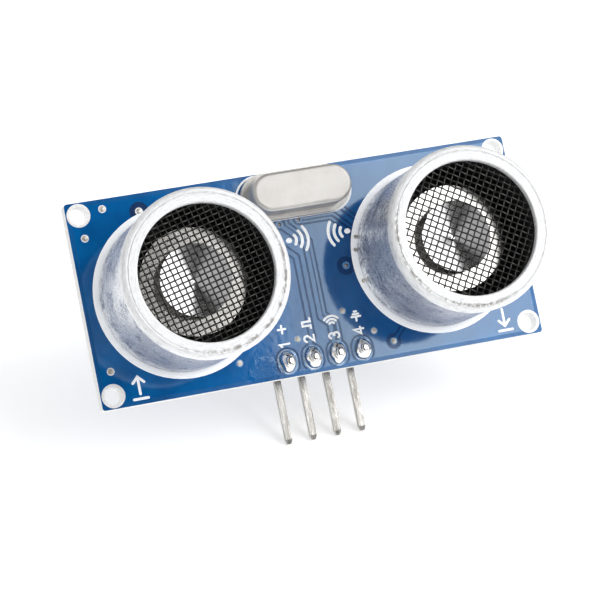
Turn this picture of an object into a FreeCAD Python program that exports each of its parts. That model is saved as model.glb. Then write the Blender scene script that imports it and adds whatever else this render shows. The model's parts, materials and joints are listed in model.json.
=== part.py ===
import FreeCAD, Part
import math
import os

# Ultrasonic distance sensor module, standing upright, in millimetres.
# The origin is the centre of the circuit board's front face. -Y is the way the two
# transducers look, +Y is the component side at the back, +X is the receiver's side,
# +Z is up and the header pins point down. "height" is a distance in front of the
# board's front face, "depth" is a distance behind the board's back face.

# ---- circuit board ----
board_width = 45.0
board_height = 20.0
board_thickness = 1.6
board_corner_radius = 0.3
mounting_pitch_x = 42.5
mounting_pitch_z = 17.5
mounting_hole_radius = 0.875
plating_thickness = 0.05
plating_pad_radius = 1.15

# ---- copper, the same thickness on both faces ----
copper_thickness = 0.035
copper_edge = 0.4
copper_gap = 0.2
lead_clearance = 0.95
via_hole_radius = 0.2
via_pad_radius = 0.38
via_wide_gap = 0.55
terminal_clearance = 1.3
back_track_width = 0.22
track_thin = 0.2
track_medium = 0.25
track_thick = 0.4

# ---- transducers ----
transducer_pitch = 26.0
case_standoff = 0.1
case_wall_radius = 7.78
case_bead_radius = 7.97
case_wall_thickness = 0.5
case_front_height = 12.0
case_lip_thickness = 0.6
case_corner_radius = 0.45
case_opening_edge_radius = 0.12
case_opening_radius = 6.48
bead_start = 10.55
bead_end = 11.35
groove_radius = 7.40
groove_width = 0.16
groove_depth = 0.04
screen_thickness = 0.3
screen_pitch = 0.56
screen_wire = 0.14
fit_gap = 0.03
sleeve_thickness = 0.3
base_thickness = 2.0
post_outer_radius = 4.0
post_inner_radius = 3.0
post_height = 4.2
support_ring_top = 5.8
bender_front = 6.15
bender_radius = 5.15
bender_thickness = 0.3
vibration_gap = 0.05
piezo_radius = 2.6
piezo_thickness = 0.4
cone_rim_radius = 3.45
cone_rim_height = 7.4
cone_foot_radius = 0.15
cone_wall = 0.18
terminal_radius = 0.32
terminal_pitch = 10.0
terminal_top = 2.9
terminal_depth = 1.5
terminal_hole_radius = 0.45
wire_radius = 0.09
wire_level = 4.6
wire_reach = 2.0
wire_slot_width = 0.6

# ---- quartz crystal ----
crystal_x = 0.1
crystal_z = 7.55
crystal_flange_length = 11.05
crystal_flange_width = 4.65
crystal_can_length = 10.0
crystal_can_width = 3.75
crystal_top = 3.5
crystal_wall = 0.25
crystal_base_bottom = 0.15
crystal_base_top = 0.6
crystal_lip_top = 0.85
crystal_edge_radius = 0.3
crystal_face_inset = 0.34
crystal_face_step = 0.06
crystal_lead_pitch = 4.88
crystal_lead_radius = 0.215
crystal_lead_depth = 1.1
crystal_hole_radius = 0.35
glass_seal_radius = 0.6
quartz_length = 6.0
quartz_width = 1.7
quartz_thickness = 0.15
clip_thickness = 0.15
clip_width = 0.8
clip_level = 1.0

# ---- pin header ----
pin_count = 4
pin_pitch = 2.54
pin_size = 0.64
pin_row_z = -8.5
pin_front_height = 1.05
pin_axis_depth = 3.75
pin_bend_radius = 0.9
pin_tip_z = -16.05
pin_tip_size = 0.36
pin_tip_length = 0.45
pin_hole_radius = 0.5
header_depth = 2.54
header_chamfer = 0.35

# ---- solder ----
header_pad_size = (2.0, 2.5)
header_joint_sizes = ((1.65, 2.15), (1.4, 1.85), (0.8, 1.1))
header_joint_heights = (copper_thickness, 0.75, 1.3)
transducer_pad_radius = 1.1
transducer_solder_depth = 1.15
crystal_pad_radius = 0.8
crystal_solder_depth = 0.8
chip_pad_length = 1.15
chip_pad_width = 0.62
small_pad_length = 0.75
small_pad_margin = 0.15

# ---- surface-mounted chips (width is across the leads) ----
chip_lead_pitch = 1.27
chip_body_width = 3.9
chip_body_thickness = 1.45
chip_standoff = 0.15
chip_lead_span = 6.0
chip_lead_width = 0.41
chip_lead_thickness = 0.2
chip_lead_level = 0.85
chip_foot = 0.65
chip_draft = 0.12
chip_end = 0.515
chip_dimple_radius = 0.35
chip_dimple_inset = 0.8
chip_dimple_depth = 0.08
outer_chip_z = 0.0
centre_chip_z = -0.5

# ---- surface-mounted passives: length, width, thickness ----
resistor_size = (1.6, 0.8, 0.45)
capacitor_size = (1.6, 0.8, 0.8)
cap_end = 0.32
cap_skin = 0.03
transistor_size = (2.9, 1.3, 1.0)
transistor_leg_offset = 0.95
transistor_x = -15.9
transistor_z = 8.1
resistor_column_x = 5.05
resistor_column_low = -4.9
resistor_column_pitch = 1.5
resistor_column_count = 7
edge_column_x = 21.0
edge_column_pitch = 2.3
top_row_z = 8.3
top_row_start = 8.6
top_row_pitch = 1.5
bottom_row_z = -8.3
bottom_row_start = 10.1
bottom_row_pitch = 2.6

half_pitch = transducer_pitch / 2
board_back = board_thickness
pad_face = board_back + copper_thickness
sides = (-1, 1)


def vector(x, y, z):
    return FreeCAD.Vector(x, y, z)


def block(centre_x, centre_z, size_x, size_z, y_low, y_high):
    """A box centred on X and Z, between two Y levels."""
    corner = vector(centre_x - size_x / 2, y_low, centre_z - size_z / 2)
    return Part.makeBox(size_x, y_high - y_low, size_z, corner)


def rod(centre_x, centre_z, radius, y_low, y_high):
    """A round bar along Y."""
    return Part.makeCylinder(radius, y_high - y_low, vector(centre_x, y_low, centre_z), vector(0, 1, 0))


def tube(centre_x, centre_z, inner, outer, y_low, y_high):
    return rod(centre_x, centre_z, outer, y_low, y_high).cut(rod(centre_x, centre_z, inner, y_low, y_high))


def turned(centre_x, centre_z, outline):
    """A solid of revolution about a Y axis.

    outline lists (radius, height) points; an entry of two points is an arc
    through the first to the second.
    """
    def place(point):
        return vector(centre_x + point[0], -point[1], centre_z)

    edges = []
    here = place(outline[0])
    for step in list(outline[1:]) + [outline[0]]:
        if isinstance(step[0], tuple):
            through, there = place(step[0]), place(step[1])
            edges.append(Part.Arc(here, through, there).toShape())
        else:
            there = place(step)
            edges.append(Part.makeLine(here, there))
        here = there
    face = Part.Face(Part.Wire(edges))
    return face.revolve(vector(centre_x, 0, centre_z), vector(0, 1, 0), 360)


def stadium(centre_x, centre_z, length, width, y_low, y_high):
    """A bar with half-round ends, long along X."""
    straight = length - width
    shape = block(centre_x, centre_z, straight, width, y_low, y_high)
    for side in sides:
        shape = shape.fuse(rod(centre_x + side * straight / 2, centre_z, width / 2, y_low, y_high))
    return shape.removeSplitter()


def oval_wire(x, z, width, height, y):
    """The outline of an upright oval: half-round ends above and below straight sides."""
    radius = width / 2
    rise = (height - width) / 2
    right_top = vector(x + radius, y, z + rise)
    left_top = vector(x - radius, y, z + rise)
    right_low = vector(x + radius, y, z - rise)
    left_low = vector(x - radius, y, z - rise)
    over = Part.Arc(right_top, vector(x, y, z + rise + radius), left_top).toShape()
    under = Part.Arc(left_low, vector(x, y, z - rise - radius), right_low).toShape()
    return Part.Wire([over, Part.makeLine(left_top, left_low), under, Part.makeLine(right_low, right_top)])


def upright_oval(x, z, width, height, y_low, y_high):
    """A bar with half-round ends, long along Z."""
    return Part.Face(oval_wire(x, z, width, height, y_low)).extrude(vector(0, y_high - y_low, 0))


def wire_run(points, radius):
    """A round wire that turns with ball-shaped elbows."""
    shape = Part.makeSphere(radius, points[0])
    for start, end in zip(points, points[1:]):
        leg = end.sub(start)
        shape = shape.fuse(Part.makeCylinder(radius, leg.Length, start, leg))
        shape = shape.fuse(Part.makeSphere(radius, end))
    return shape


def pin_columns():
    return [pin_pitch * (index - (pin_count - 1) / 2) for index in range(pin_count)]


def mounting_places():
    return [(sx * mounting_pitch_x / 2, sz * mounting_pitch_z / 2) for sx in sides for sz in sides]


def terminal_places(centre_x):
    return [centre_x + side * terminal_pitch / 2 for side in sides]


def crystal_lead_places():
    return [crystal_x + side * crystal_lead_pitch / 2 for side in sides]


def strip(points, width, y_low, y_high):
    """A flat track of constant width with round joints and ends."""
    shape = rod(points[0][0], points[0][1], width / 2, y_low, y_high)
    for (x1, z1), (x2, z2) in zip(points, points[1:]):
        length = math.hypot(x2 - x1, z2 - z1)
        leg = Part.makeBox(length, y_high - y_low, width, vector(0, y_low, -width / 2))
        leg.rotate(vector(0, 0, 0), vector(0, 1, 0), -math.degrees(math.atan2(z2 - z1, x2 - x1)))
        leg.translate(vector(x1, 0, z1))
        shape = shape.fuse(leg).fuse(rod(x2, z2, width / 2, y_low, y_high))
    return shape.removeSplitter()


def joined_vias():
    """Plated holes that join the copper areas of the two faces."""
    return [
        (-18.87, 9.03), (-21.06, 6.49), (-21.07, -6.43), (-8.54, -7.8), (-2.42, -6.49),
        (2.59, -4.54), (5.33, -6.97), (5.14, 1.15), (5.33, -1.97),
    ]


def routed_vias():
    """Plated holes that carry a track, each kept clear of the copper area by its own gap."""
    return {
        "crystal_left": (-1.93, 4.8, copper_gap),
        "crystal_right": (0.06, 5.0, copper_gap),
        "driver_top": (-15.38, 8.25, via_wide_gap),
        "middle": (3.88, -0.22, via_wide_gap),
        "receiver_ring": (5.41, 2.4, copper_gap),
        "receiver_foot": (7.12, -8.3, 0.4),
    }


def all_vias():
    return joined_vias() + [place[:2] for place in routed_vias().values()]


def diagonal(start, run, rise):
    """The point reached by going the same distance sideways and up or down; run and rise are signed."""
    return start[0] + run, start[1] + math.copysign(run, rise)


def echo_track():
    """From the left crystal hole straight down the middle to the third pin."""
    start = routed_vias()["crystal_left"][:2]
    column = 0.28
    bend_z = -4.75
    step = 0.82
    first = diagonal(start, column - start[0], -1)
    last = diagonal((column, bend_z), step, -1)
    return [start, first, (column, bend_z), last, (last[0], pin_row_z)], track_thick


def guard_track():
    """A thin track that runs beside the echo track."""
    top = (-1.2, 6.3)
    upper = (-1.2, 4.71)
    column = 0.74
    bend_z = -4.5
    step = 1.05
    bottom_z = -7.6
    first = diagonal(upper, column - upper[0], -1)
    last = diagonal((column, bend_z), step, -1)
    points = [top, upper, first, (column, bend_z), last, (last[0], bottom_z), (pin_columns()[2], pin_row_z)]
    return points, track_medium


def trigger_track():
    """From under the transmitter to the second pin."""
    start = (-3.2, 3.7)
    column = -0.92
    bend_z = -6.6
    first = diagonal(start, column - start[0], -1)
    pin_x = pin_columns()[1]
    last = diagonal((column, bend_z), pin_x - column, -1)
    return [start, first, (column, bend_z), (pin_x, last[1]), (pin_x, pin_row_z)], track_thick


def crystal_tracks():
    """Three thin tracks from the crystal towards the receiver."""
    right = routed_vias()["crystal_right"][:2]
    ring = routed_vias()["receiver_ring"][:2]
    lead = (crystal_lead_places()[1], crystal_z)
    upper = (right[0], 5.02)
    upper_bend = (3.62, 5.02)
    lower = (right[0] + 0.32, 4.68)
    lower_bend = (3.3, 4.68)
    return [
        ([upper, upper_bend, diagonal(upper_bend, 3.28, -1)], track_thin),
        ([right, lower, lower_bend, diagonal(lower_bend, ring[0] - lower_bend[0], -1), ring], track_thin),
        ([lead, diagonal(lead, 3.76, -1)], track_medium),
    ]


def foot_track():
    """From the lowest plated hole up and under the receiver."""
    start = routed_vias()["receiver_foot"][:2]
    return [start, diagonal(start, 2.6, 1)], track_medium


def front_tracks():
    """(points, width) of each track on the front face."""
    return [echo_track(), guard_track(), trigger_track(), foot_track()] + crystal_tracks()


# ---- circuit board ----
def circuit_board():
    shape = block(0, 0, board_width, board_height, 0, board_back)
    upright = [edge for edge in shape.Edges if abs(edge.tangentAt(edge.FirstParameter).y) > 0.99]
    shape = shape.makeFillet(board_corner_radius, upright)
    holes = drills(mounting_places(), mounting_hole_radius + plating_thickness, 0, board_back)
    holes += drills(pin_places(), pin_hole_radius, 0, board_back)
    holes += drills(all_terminal_places(), terminal_hole_radius, 0, board_back)
    holes += drills(crystal_places(), crystal_hole_radius, 0, board_back)
    holes += drills(all_vias(), via_hole_radius + plating_thickness / 2, 0, board_back)
    return shape.cut(holes)


def eyelet(x, z, hole, wall, pad):
    """A plated hole: a thin barrel through the board and a flat ring on each face."""
    barrel = rod(x, z, hole + wall, 0, board_back)
    front_pad = rod(x, z, pad, -copper_thickness, 0)
    back_pad = rod(x, z, pad, board_back, board_back + copper_thickness)
    return barrel.fuse(front_pad).fuse(back_pad).cut(rod(x, z, hole, -1, board_back + 1))


def mounting_hole_plating():
    rings = []
    for x, z in mounting_places():
        rings.append(eyelet(x, z, mounting_hole_radius, plating_thickness, plating_pad_radius))
    return Part.makeCompound(rings)


def via_plating():
    rings = [eyelet(x, z, via_hole_radius, plating_thickness / 2, via_pad_radius) for x, z in all_vias()]
    return Part.makeCompound(rings)


def drills(places, radius, y_low, y_high):
    """Bars that cut a round opening at each place, from below one level to above the other."""
    return [rod(x, z, radius, y_low - 1, y_high + 1) for x, z in places]


def pin_places():
    return [(x, pin_row_z) for x in pin_columns()]


def pin_ovals(margin, y_low, y_high):
    """An upright oval at each pin, larger than the pin's pad by a margin all round."""
    width, height = header_pad_size
    grown_width, grown_height = width + 2 * margin, height + 2 * margin
    return [upright_oval(x, z, grown_width, grown_height, y_low - 1, y_high + 1) for x, z in pin_places()]


def crystal_places():
    return [(x, crystal_z) for x in crystal_lead_places()]


def all_terminal_places():
    return [(x, 0) for centre_x in (-half_pitch, half_pitch) for x in terminal_places(centre_x)]


def copper_area(y_low, y_high):
    """The copper left over most of a face, kept back from the edge, the corner holes and every lead."""
    inset = 2 * copper_edge
    shape = block(0, 0, board_width - inset, board_height - inset, y_low, y_high)
    holes = drills(mounting_places(), plating_pad_radius, y_low, y_high)
    holes += pin_ovals(copper_gap, y_low, y_high)
    holes += drills(crystal_places(), lead_clearance, y_low, y_high)
    holes += drills(all_terminal_places(), terminal_clearance, y_low, y_high)
    holes += drills(joined_vias(), via_pad_radius, y_low, y_high)
    for x, z, gap in routed_vias().values():
        holes += drills([(x, z)], via_pad_radius + gap, y_low, y_high)
    return shape.cut(holes)


def laid_tracks(runs, keep_off, y_low, y_high):
    """The tracks as solids, each stopped at the pads and at the tracks before it."""
    tracks = []
    for points, width in runs:
        track = strip(points, width, y_low, y_high).cut(keep_off)
        for other in tracks:
            if track.BoundBox.intersect(other.BoundBox):
                track = track.cut(other)
        tracks.append(track)
    return [solid for track in tracks for solid in track.Solids]


def channels(runs, y_low, y_high):
    """The bare strip cut through the copper area round each track."""
    return [strip(points, width + 2 * copper_gap, y_low - 1, y_high + 1) for points, width in runs]


def front_copper():
    """The copper area with a channel along each track, and the tracks themselves."""
    low, high = -copper_thickness, 0
    pads = drills(all_vias(), via_pad_radius, low, high)
    pads += pin_ovals(0, low, high)
    pads += drills(crystal_places(), crystal_hole_radius, low, high)
    seat_length = crystal_flange_length - 1
    seat_width = crystal_flange_width - 1
    seat = stadium(crystal_x, crystal_z, seat_length, seat_width, low - 1, high + 1)
    area = copper_area(low, high).cut(channels(front_tracks(), low, high) + [seat])
    return Part.makeCompound(area.Solids + laid_tracks(front_tracks(), pads, low, high))


def chip_list():
    """(name, x, z, lead count) of each chip."""
    return [
        ("driver_chip", -half_pitch, outer_chip_z, 16),
        ("controller_chip", 0, centre_chip_z, 14),
        ("amplifier_chip", half_pitch, outer_chip_z, 14),
    ]


def lead_rows(lead_count):
    per_side = lead_count // 2
    return [chip_lead_pitch * (index - (per_side - 1) / 2) for index in range(per_side)]


def chip_pads():
    boxes = []
    for _, chip_x, chip_z, lead_count in chip_list():
        for side in sides:
            pad_x = chip_x + side * (chip_lead_span / 2 + 0.35 - chip_pad_length / 2)
            for row in lead_rows(lead_count):
                boxes.append((pad_x, chip_z + row, chip_pad_length, chip_pad_width))
    return boxes


def small_part_pads():
    boxes = []
    length, width, _ = resistor_size
    across = width + small_pad_margin
    for x, z, is_turned in resistor_places() + capacitor_places():
        for side in sides:
            offset = side * (length / 2 - 0.1)
            if is_turned:
                boxes.append((x, z + offset, across, small_pad_length))
            else:
                boxes.append((x + offset, z, small_pad_length, across))
    return boxes


def transistor_pads():
    boxes = []
    for offset, direction in transistor_legs():
        reach = direction * (transistor_size[1] / 2 + 0.38)
        boxes.append((transistor_x + offset, transistor_z + reach, chip_pad_width, chip_pad_width))
    return boxes


def pad_boxes():
    """(x, z, size x, size z) of every soldered pad on the back."""
    return chip_pads() + small_part_pads() + transistor_pads()


def back_levels():
    return board_back, board_back + copper_thickness


def header_pads():
    """An oval ring round each pin's hole on the front face."""
    width, height = header_pad_size
    pads = []
    for x, z in pin_places():
        oval = upright_oval(x, z, width, height, -copper_thickness, 0)
        pads.append(oval.cut(rod(x, z, pin_hole_radius, -1, 1)))
    return pads


def solder_pads():
    """Flat pads under the small parts' leads on the back, and the oval ones on the front."""
    low, high = back_levels()
    boxes = [block(x, z, size_x, size_z, low, high) for x, z, size_x, size_z in pad_boxes()]
    back_pads = Part.makeCompound(boxes).cut(drills(all_vias(), via_pad_radius, low, high))
    return Part.makeCompound(back_pads.Solids + header_pads())


def centre_chip_tracks():
    """One track from each lead of the middle chip to the small part level with it."""
    toe = chip_lead_span / 2 + 0.2
    inner = resistor_column_x - resistor_size[0] / 2
    chip_rows = [centre_chip_z + row for row in lead_rows(14)]
    runs = []
    for side in sides:
        for chip_row, part_row in zip(chip_rows, resistor_rows()):
            run = [(toe, chip_row), (toe + 0.25, chip_row), (inner - 0.15, part_row), (inner, part_row)]
            runs.append(([(side * x, z) for x, z in run], back_track_width))
    return runs


def outer_chip_tracks():
    """Tracks from the outer chips to the small parts and outwards, passing clear of the large joints."""
    toe = chip_lead_span / 2 + 0.2
    outer = resistor_column_x + resistor_size[0] / 2
    inner_toe = half_pitch - toe
    outer_toe = half_pitch + toe
    runs = []
    for side, lead_count in ((-1, 16), (1, 14)):
        chip_rows = lead_rows(lead_count)
        for chip_row, part_row in zip(chip_rows[-resistor_column_count:], resistor_rows()):
            if min(abs(chip_row), abs(part_row)) > 1.6:
                near = [(outer, part_row), (outer + 0.4, part_row)]
                far = [(inner_toe - 0.5, chip_row), (inner_toe, chip_row)]
                runs.append(([(side * x, z) for x, z in near + far], back_track_width))
        for row in chip_rows:
            if abs(row) > 1.8:
                bend = (outer_toe + 2.2, row)
                end = diagonal(bend, 0.7, row)
                run = [(outer_toe, row), bend, end]
                runs.append(([(side * x, z) for x, z in run], back_track_width))
    return runs


def back_copper():
    """The copper area on the back, cut away round the chips and small parts, and the tracks."""
    low, high = back_levels()
    runs = centre_chip_tracks() + outer_chip_tracks()
    margin = 2 * copper_gap
    openings = channels(runs, low, high)
    header_length = pin_count * pin_pitch
    openings.append(block(0, pin_row_z, header_length + margin, pin_pitch + margin, low - 1, high + 1))
    for x, z, size_x, size_z in pad_boxes():
        openings.append(block(x, z, size_x + margin, size_z + margin, low - 1, high + 1))
    pads = [block(x, z, size_x, size_z, low - 1, high + 1) for x, z, size_x, size_z in pad_boxes()]
    pads += drills(all_vias(), via_pad_radius + copper_gap, low, high)
    area = copper_area(low, high).cut(openings)
    return Part.makeCompound(area.Solids + laid_tracks(runs, pads, low, high))


# ---- transducers ----
def transducer_case(centre_x):
    """Drawn aluminium cup: plain wall, wider bead at the mouth, inward lip, scored ring on the lip."""
    inner_radius = case_wall_radius - case_wall_thickness
    lip_back = case_front_height - case_lip_thickness
    corner = case_corner_radius
    corner_reach = corner * (1 - math.sqrt(0.5))
    shoulder = case_front_height - groove_depth
    edge = case_opening_edge_radius
    edge_reach = edge * (1 - math.sqrt(0.5))
    outline = [
        (inner_radius, case_standoff),
        (case_wall_radius, case_standoff),
        (case_wall_radius, bead_start),
        (case_bead_radius, bead_start + 0.3),
        (case_bead_radius, bead_end),
        ((case_bead_radius - corner_reach, shoulder - corner_reach), (case_bead_radius - corner, shoulder)),
        (groove_radius + groove_width / 2, shoulder),
        (groove_radius, case_front_height - 2 * groove_depth),
        (groove_radius - groove_width / 2, case_front_height),
        (case_opening_radius + edge, case_front_height),
        (
            (case_opening_radius + edge_reach, case_front_height - edge_reach),
            (case_opening_radius, case_front_height - edge),
        ),
        (case_opening_radius, lip_back),
        (inner_radius, lip_back),
    ]
    return turned(centre_x, 0, outline)


def screen_levels():
    front = case_front_height - case_lip_thickness
    return front - screen_thickness, front


def mesh_screen(centre_x):
    """Wire cloth behind the lip, as a thin disc with a square grid of openings."""
    back, front = screen_levels()
    radius = case_wall_radius - case_wall_thickness - fit_gap
    opening = screen_pitch - screen_wire
    reach = case_opening_radius + screen_pitch
    steps = int(reach / screen_pitch)
    holes = []
    for row in range(-steps, steps + 1):
        for column in range(-steps, steps + 1):
            x, z = column * screen_pitch, row * screen_pitch
            if math.hypot(x, z) < radius - screen_pitch:
                holes.append(block(centre_x + x, z, opening, opening, -front - 1, -back + 1))
    return rod(centre_x, 0, radius, -front, -back).cut(holes)


def inner_sleeve(centre_x):
    outer = case_wall_radius - case_wall_thickness - fit_gap
    return tube(centre_x, 0, outer - sleeve_thickness, outer, -screen_levels()[0], -base_thickness)


def base_plate(centre_x):
    """Resin base: a disc that closes the case and a round post that carries the support ring."""
    radius = case_wall_radius - case_wall_thickness - fit_gap
    shape = rod(centre_x, 0, radius, -base_thickness, -copper_thickness)
    post = tube(centre_x, 0, post_inner_radius, post_outer_radius, -post_height, -base_thickness)
    shape = shape.fuse(post)
    for x in terminal_places(centre_x):
        shape = shape.cut(rod(x, 0, terminal_radius, -post_height - 1, 1))
    return shape


def support_ring(centre_x):
    """Silicone ring under the bender plate, with a slot on each side for the lead wires."""
    shape = tube(centre_x, 0, post_inner_radius, post_outer_radius, -support_ring_top, -post_height)
    slot_front = -wire_level - wire_slot_width / 2
    slot = block(centre_x, 0, 3 * post_outer_radius, wire_slot_width, slot_front, -post_height)
    return shape.cut(slot)


def bender_plate(centre_x):
    return rod(centre_x, 0, bender_radius, -bender_front, -bender_front + bender_thickness)


def piezo_disc(centre_x):
    front = bender_front - bender_thickness
    return rod(centre_x, 0, piezo_radius, -front, -front + piezo_thickness)


def radiator_cone(centre_x):
    """Thin funnel standing on the bender plate with its mouth forward."""
    outline = [
        (0, bender_front),
        (cone_foot_radius, bender_front),
        (cone_rim_radius, cone_rim_height - cone_wall),
        (cone_rim_radius, cone_rim_height),
        (cone_foot_radius, bender_front + cone_wall),
        (0, bender_front + cone_wall),
    ]
    return turned(centre_x, 0, outline)


def terminals(centre_x):
    back = board_back + terminal_depth
    bars = [rod(x, 0, terminal_radius, -terminal_top, back) for x in terminal_places(centre_x)]
    return Part.makeCompound(bars)


def lead_wires(centre_x):
    """A fine wire from the top of each terminal, through the ring's slot, to just under the piezo disc."""
    piezo_back = bender_front - bender_thickness - piezo_thickness
    end_height = piezo_back - wire_radius - vibration_gap
    runs = []
    for side in sides:
        outer_x = centre_x + side * terminal_pitch / 2
        inner_x = centre_x + side * wire_reach
        points = [
            vector(outer_x, -terminal_top - wire_radius, 0),
            vector(outer_x, -wire_level, 0),
            vector(inner_x, -wire_level, 0),
            vector(inner_x, -end_height, 0),
        ]
        runs.append(wire_run(points, wire_radius))
    return Part.makeCompound(runs)


# ---- quartz crystal ----
def crystal_flange(y_low, y_high):
    return stadium(crystal_x, crystal_z, crystal_flange_length, crystal_flange_width, y_low, y_high)


def crystal_can():
    """Drawn cover: a face that stands a little proud of the rounded shoulder, and a flange at the foot."""
    shoulder = -crystal_top + crystal_face_step
    cover = stadium(crystal_x, crystal_z, crystal_can_length, crystal_can_width, shoulder, -crystal_base_top)
    front_edges = [edge for edge in cover.Edges if abs(edge.BoundBox.YMax - shoulder) < 1e-6]
    cover = cover.makeFillet(crystal_edge_radius, front_edges)
    face_length = crystal_can_length - 2 * crystal_face_inset
    face_width = crystal_can_width - 2 * crystal_face_inset
    cover = cover.fuse(stadium(crystal_x, crystal_z, face_length, face_width, -crystal_top, shoulder))
    flange = crystal_flange(-crystal_lip_top, -crystal_base_top)
    hollow = stadium(
        crystal_x,
        crystal_z,
        crystal_can_length - 2 * crystal_wall,
        crystal_can_width - 2 * crystal_wall,
        -crystal_top + crystal_wall,
        -crystal_base_top,
    )
    return cover.fuse(flange).cut(hollow).removeSplitter()


def crystal_base():
    shape = crystal_flange(-crystal_base_top, -crystal_base_bottom)
    for x in crystal_lead_places():
        shape = shape.cut(rod(x, crystal_z, glass_seal_radius, -crystal_base_top, -crystal_base_bottom))
    return shape


def crystal_glass_seals():
    front, back = -crystal_base_top, -crystal_base_bottom
    beads = []
    for x in crystal_lead_places():
        beads.append(tube(x, crystal_z, crystal_lead_radius, glass_seal_radius, front, back))
    return Part.makeCompound(beads)


def crystal_leads():
    back = board_back + crystal_lead_depth
    bars = [rod(x, crystal_z, crystal_lead_radius, -clip_level, back) for x in crystal_lead_places()]
    return Part.makeCompound(bars)


def crystal_clips():
    """A bent strip on each lead: a foot on top of the lead and an upright at the end of the quartz."""
    strips = []
    foot_front = clip_level + clip_thickness
    for side, lead_x in zip(sides, crystal_lead_places()):
        upright_x = crystal_x + side * (quartz_length + clip_thickness) / 2
        inner_x = lead_x - side * crystal_lead_radius
        outer_x = upright_x + side * clip_thickness / 2
        foot_x = (inner_x + outer_x) / 2
        foot_length = abs(outer_x - inner_x)
        foot = block(foot_x, crystal_z, foot_length, clip_width, -foot_front, -clip_level)
        upright_front = -foot_front - quartz_width
        upright = block(upright_x, crystal_z, clip_thickness, clip_width, upright_front, -foot_front)
        strips.append(foot.fuse(upright).removeSplitter())
    return Part.makeCompound(strips)


def quartz_blank():
    front = clip_level + clip_thickness + quartz_width
    return block(crystal_x, crystal_z, quartz_length, quartz_thickness, -front, -front + quartz_width - 0.1)


# ---- pin header ----
def header_pin(x):
    """Square pin: from the front joint back through the board and body, then bent down."""
    axis_y = board_back + pin_axis_depth
    bend_y = axis_y - pin_bend_radius
    bend_z = pin_row_z - pin_bend_radius
    straight = block(x, pin_row_z, pin_size, pin_size, -pin_front_height, bend_y)
    face = Part.Face(Part.makePolygon([
        vector(x - pin_size / 2, bend_y, pin_row_z - pin_size / 2),
        vector(x + pin_size / 2, bend_y, pin_row_z - pin_size / 2),
        vector(x + pin_size / 2, bend_y, pin_row_z + pin_size / 2),
        vector(x - pin_size / 2, bend_y, pin_row_z + pin_size / 2),
        vector(x - pin_size / 2, bend_y, pin_row_z - pin_size / 2),
    ]))
    elbow = face.revolve(vector(x, bend_y, bend_z), vector(1, 0, 0), -90)
    tip_top = pin_tip_z + pin_tip_length
    corner = vector(x - pin_size / 2, axis_y - pin_size / 2, tip_top)
    leg = Part.makeBox(pin_size, pin_size, bend_z - tip_top, corner)
    tip = Part.makeLoft([
        square_wire(x, axis_y, tip_top, pin_size),
        square_wire(x, axis_y, pin_tip_z, pin_tip_size),
    ], True, True)
    return straight.fuse(elbow).fuse(leg).fuse(tip).removeSplitter()


def square_wire(x, y, z, size):
    half = size / 2
    corners = [(-half, -half), (half, -half), (half, half), (-half, half), (-half, -half)]
    return Part.makePolygon([vector(x + dx, y + dy, z) for dx, dy in corners])


def header_pins():
    return Part.makeCompound([header_pin(x) for x in pin_columns()])


def header_body():
    """One moulded block per pin, joined in a row, with bevelled corners between them."""
    back = board_back + header_depth
    shape = None
    for x in pin_columns():
        cell = block(x, pin_row_z, pin_pitch, pin_pitch, board_back, back)
        upright = [edge for edge in cell.Edges if abs(edge.tangentAt(edge.FirstParameter).y) > 0.99]
        cell = cell.makeChamfer(header_chamfer, upright)
        shape = cell if shape is None else shape.fuse(cell)
    for x in pin_columns():
        shape = shape.cut(block(x, pin_row_z, pin_size, pin_size, board_back - 1, back + 1))
    return shape.removeSplitter()


# ---- solder ----
def solder_dome(x, z, foot_radius, top_radius, height, direction):
    """A round fillet of solder. direction is -1 on the front of the board and 1 on the back."""
    level = 0 if direction < 0 else board_back
    start = vector(x, level, z)
    return Part.makeCone(foot_radius, top_radius, height, start, vector(0, direction, 0))


def header_solder_joints():
    """An upright oval dome that covers each pin's end, joined to the solder that fills the pin's hole."""
    joints = []
    for x, z in pin_places():
        outlines = []
        for (width, height), level in zip(header_joint_sizes, header_joint_heights):
            outlines.append(oval_wire(x, z, width, height, -level))
        dome = Part.makeLoft(outlines, True, True)
        shape = dome.fuse(rod(x, z, pin_hole_radius, -copper_thickness, board_back))
        joints.append(shape.cut(block(x, z, pin_size, pin_size, -pin_front_height, board_back)))
    return Part.makeCompound(joints)


def transducer_solder_joints():
    joints = []
    for centre_x in (-half_pitch, half_pitch):
        for x in terminal_places(centre_x):
            dome = solder_dome(x, 0, transducer_pad_radius, 0.45, transducer_solder_depth, 1)
            shape = dome.fuse(rod(x, 0, terminal_hole_radius, 0, board_back))
            joints.append(shape.cut(rod(x, 0, terminal_radius, -1, board_back + 5)))
    return Part.makeCompound(joints)


def crystal_solder_joints():
    joints = []
    for x in crystal_lead_places():
        dome = solder_dome(x, crystal_z, crystal_pad_radius, 0.33, crystal_solder_depth, 1)
        shape = dome.fuse(rod(x, crystal_z, crystal_hole_radius, 0, board_back))
        joints.append(shape.cut(rod(x, crystal_z, crystal_lead_radius, -1, board_back + 5)))
    return Part.makeCompound(joints)


# ---- chips on the back ----
def chip_body_length(lead_count):
    return (lead_count / 2 - 1) * chip_lead_pitch + 2 * chip_end


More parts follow.
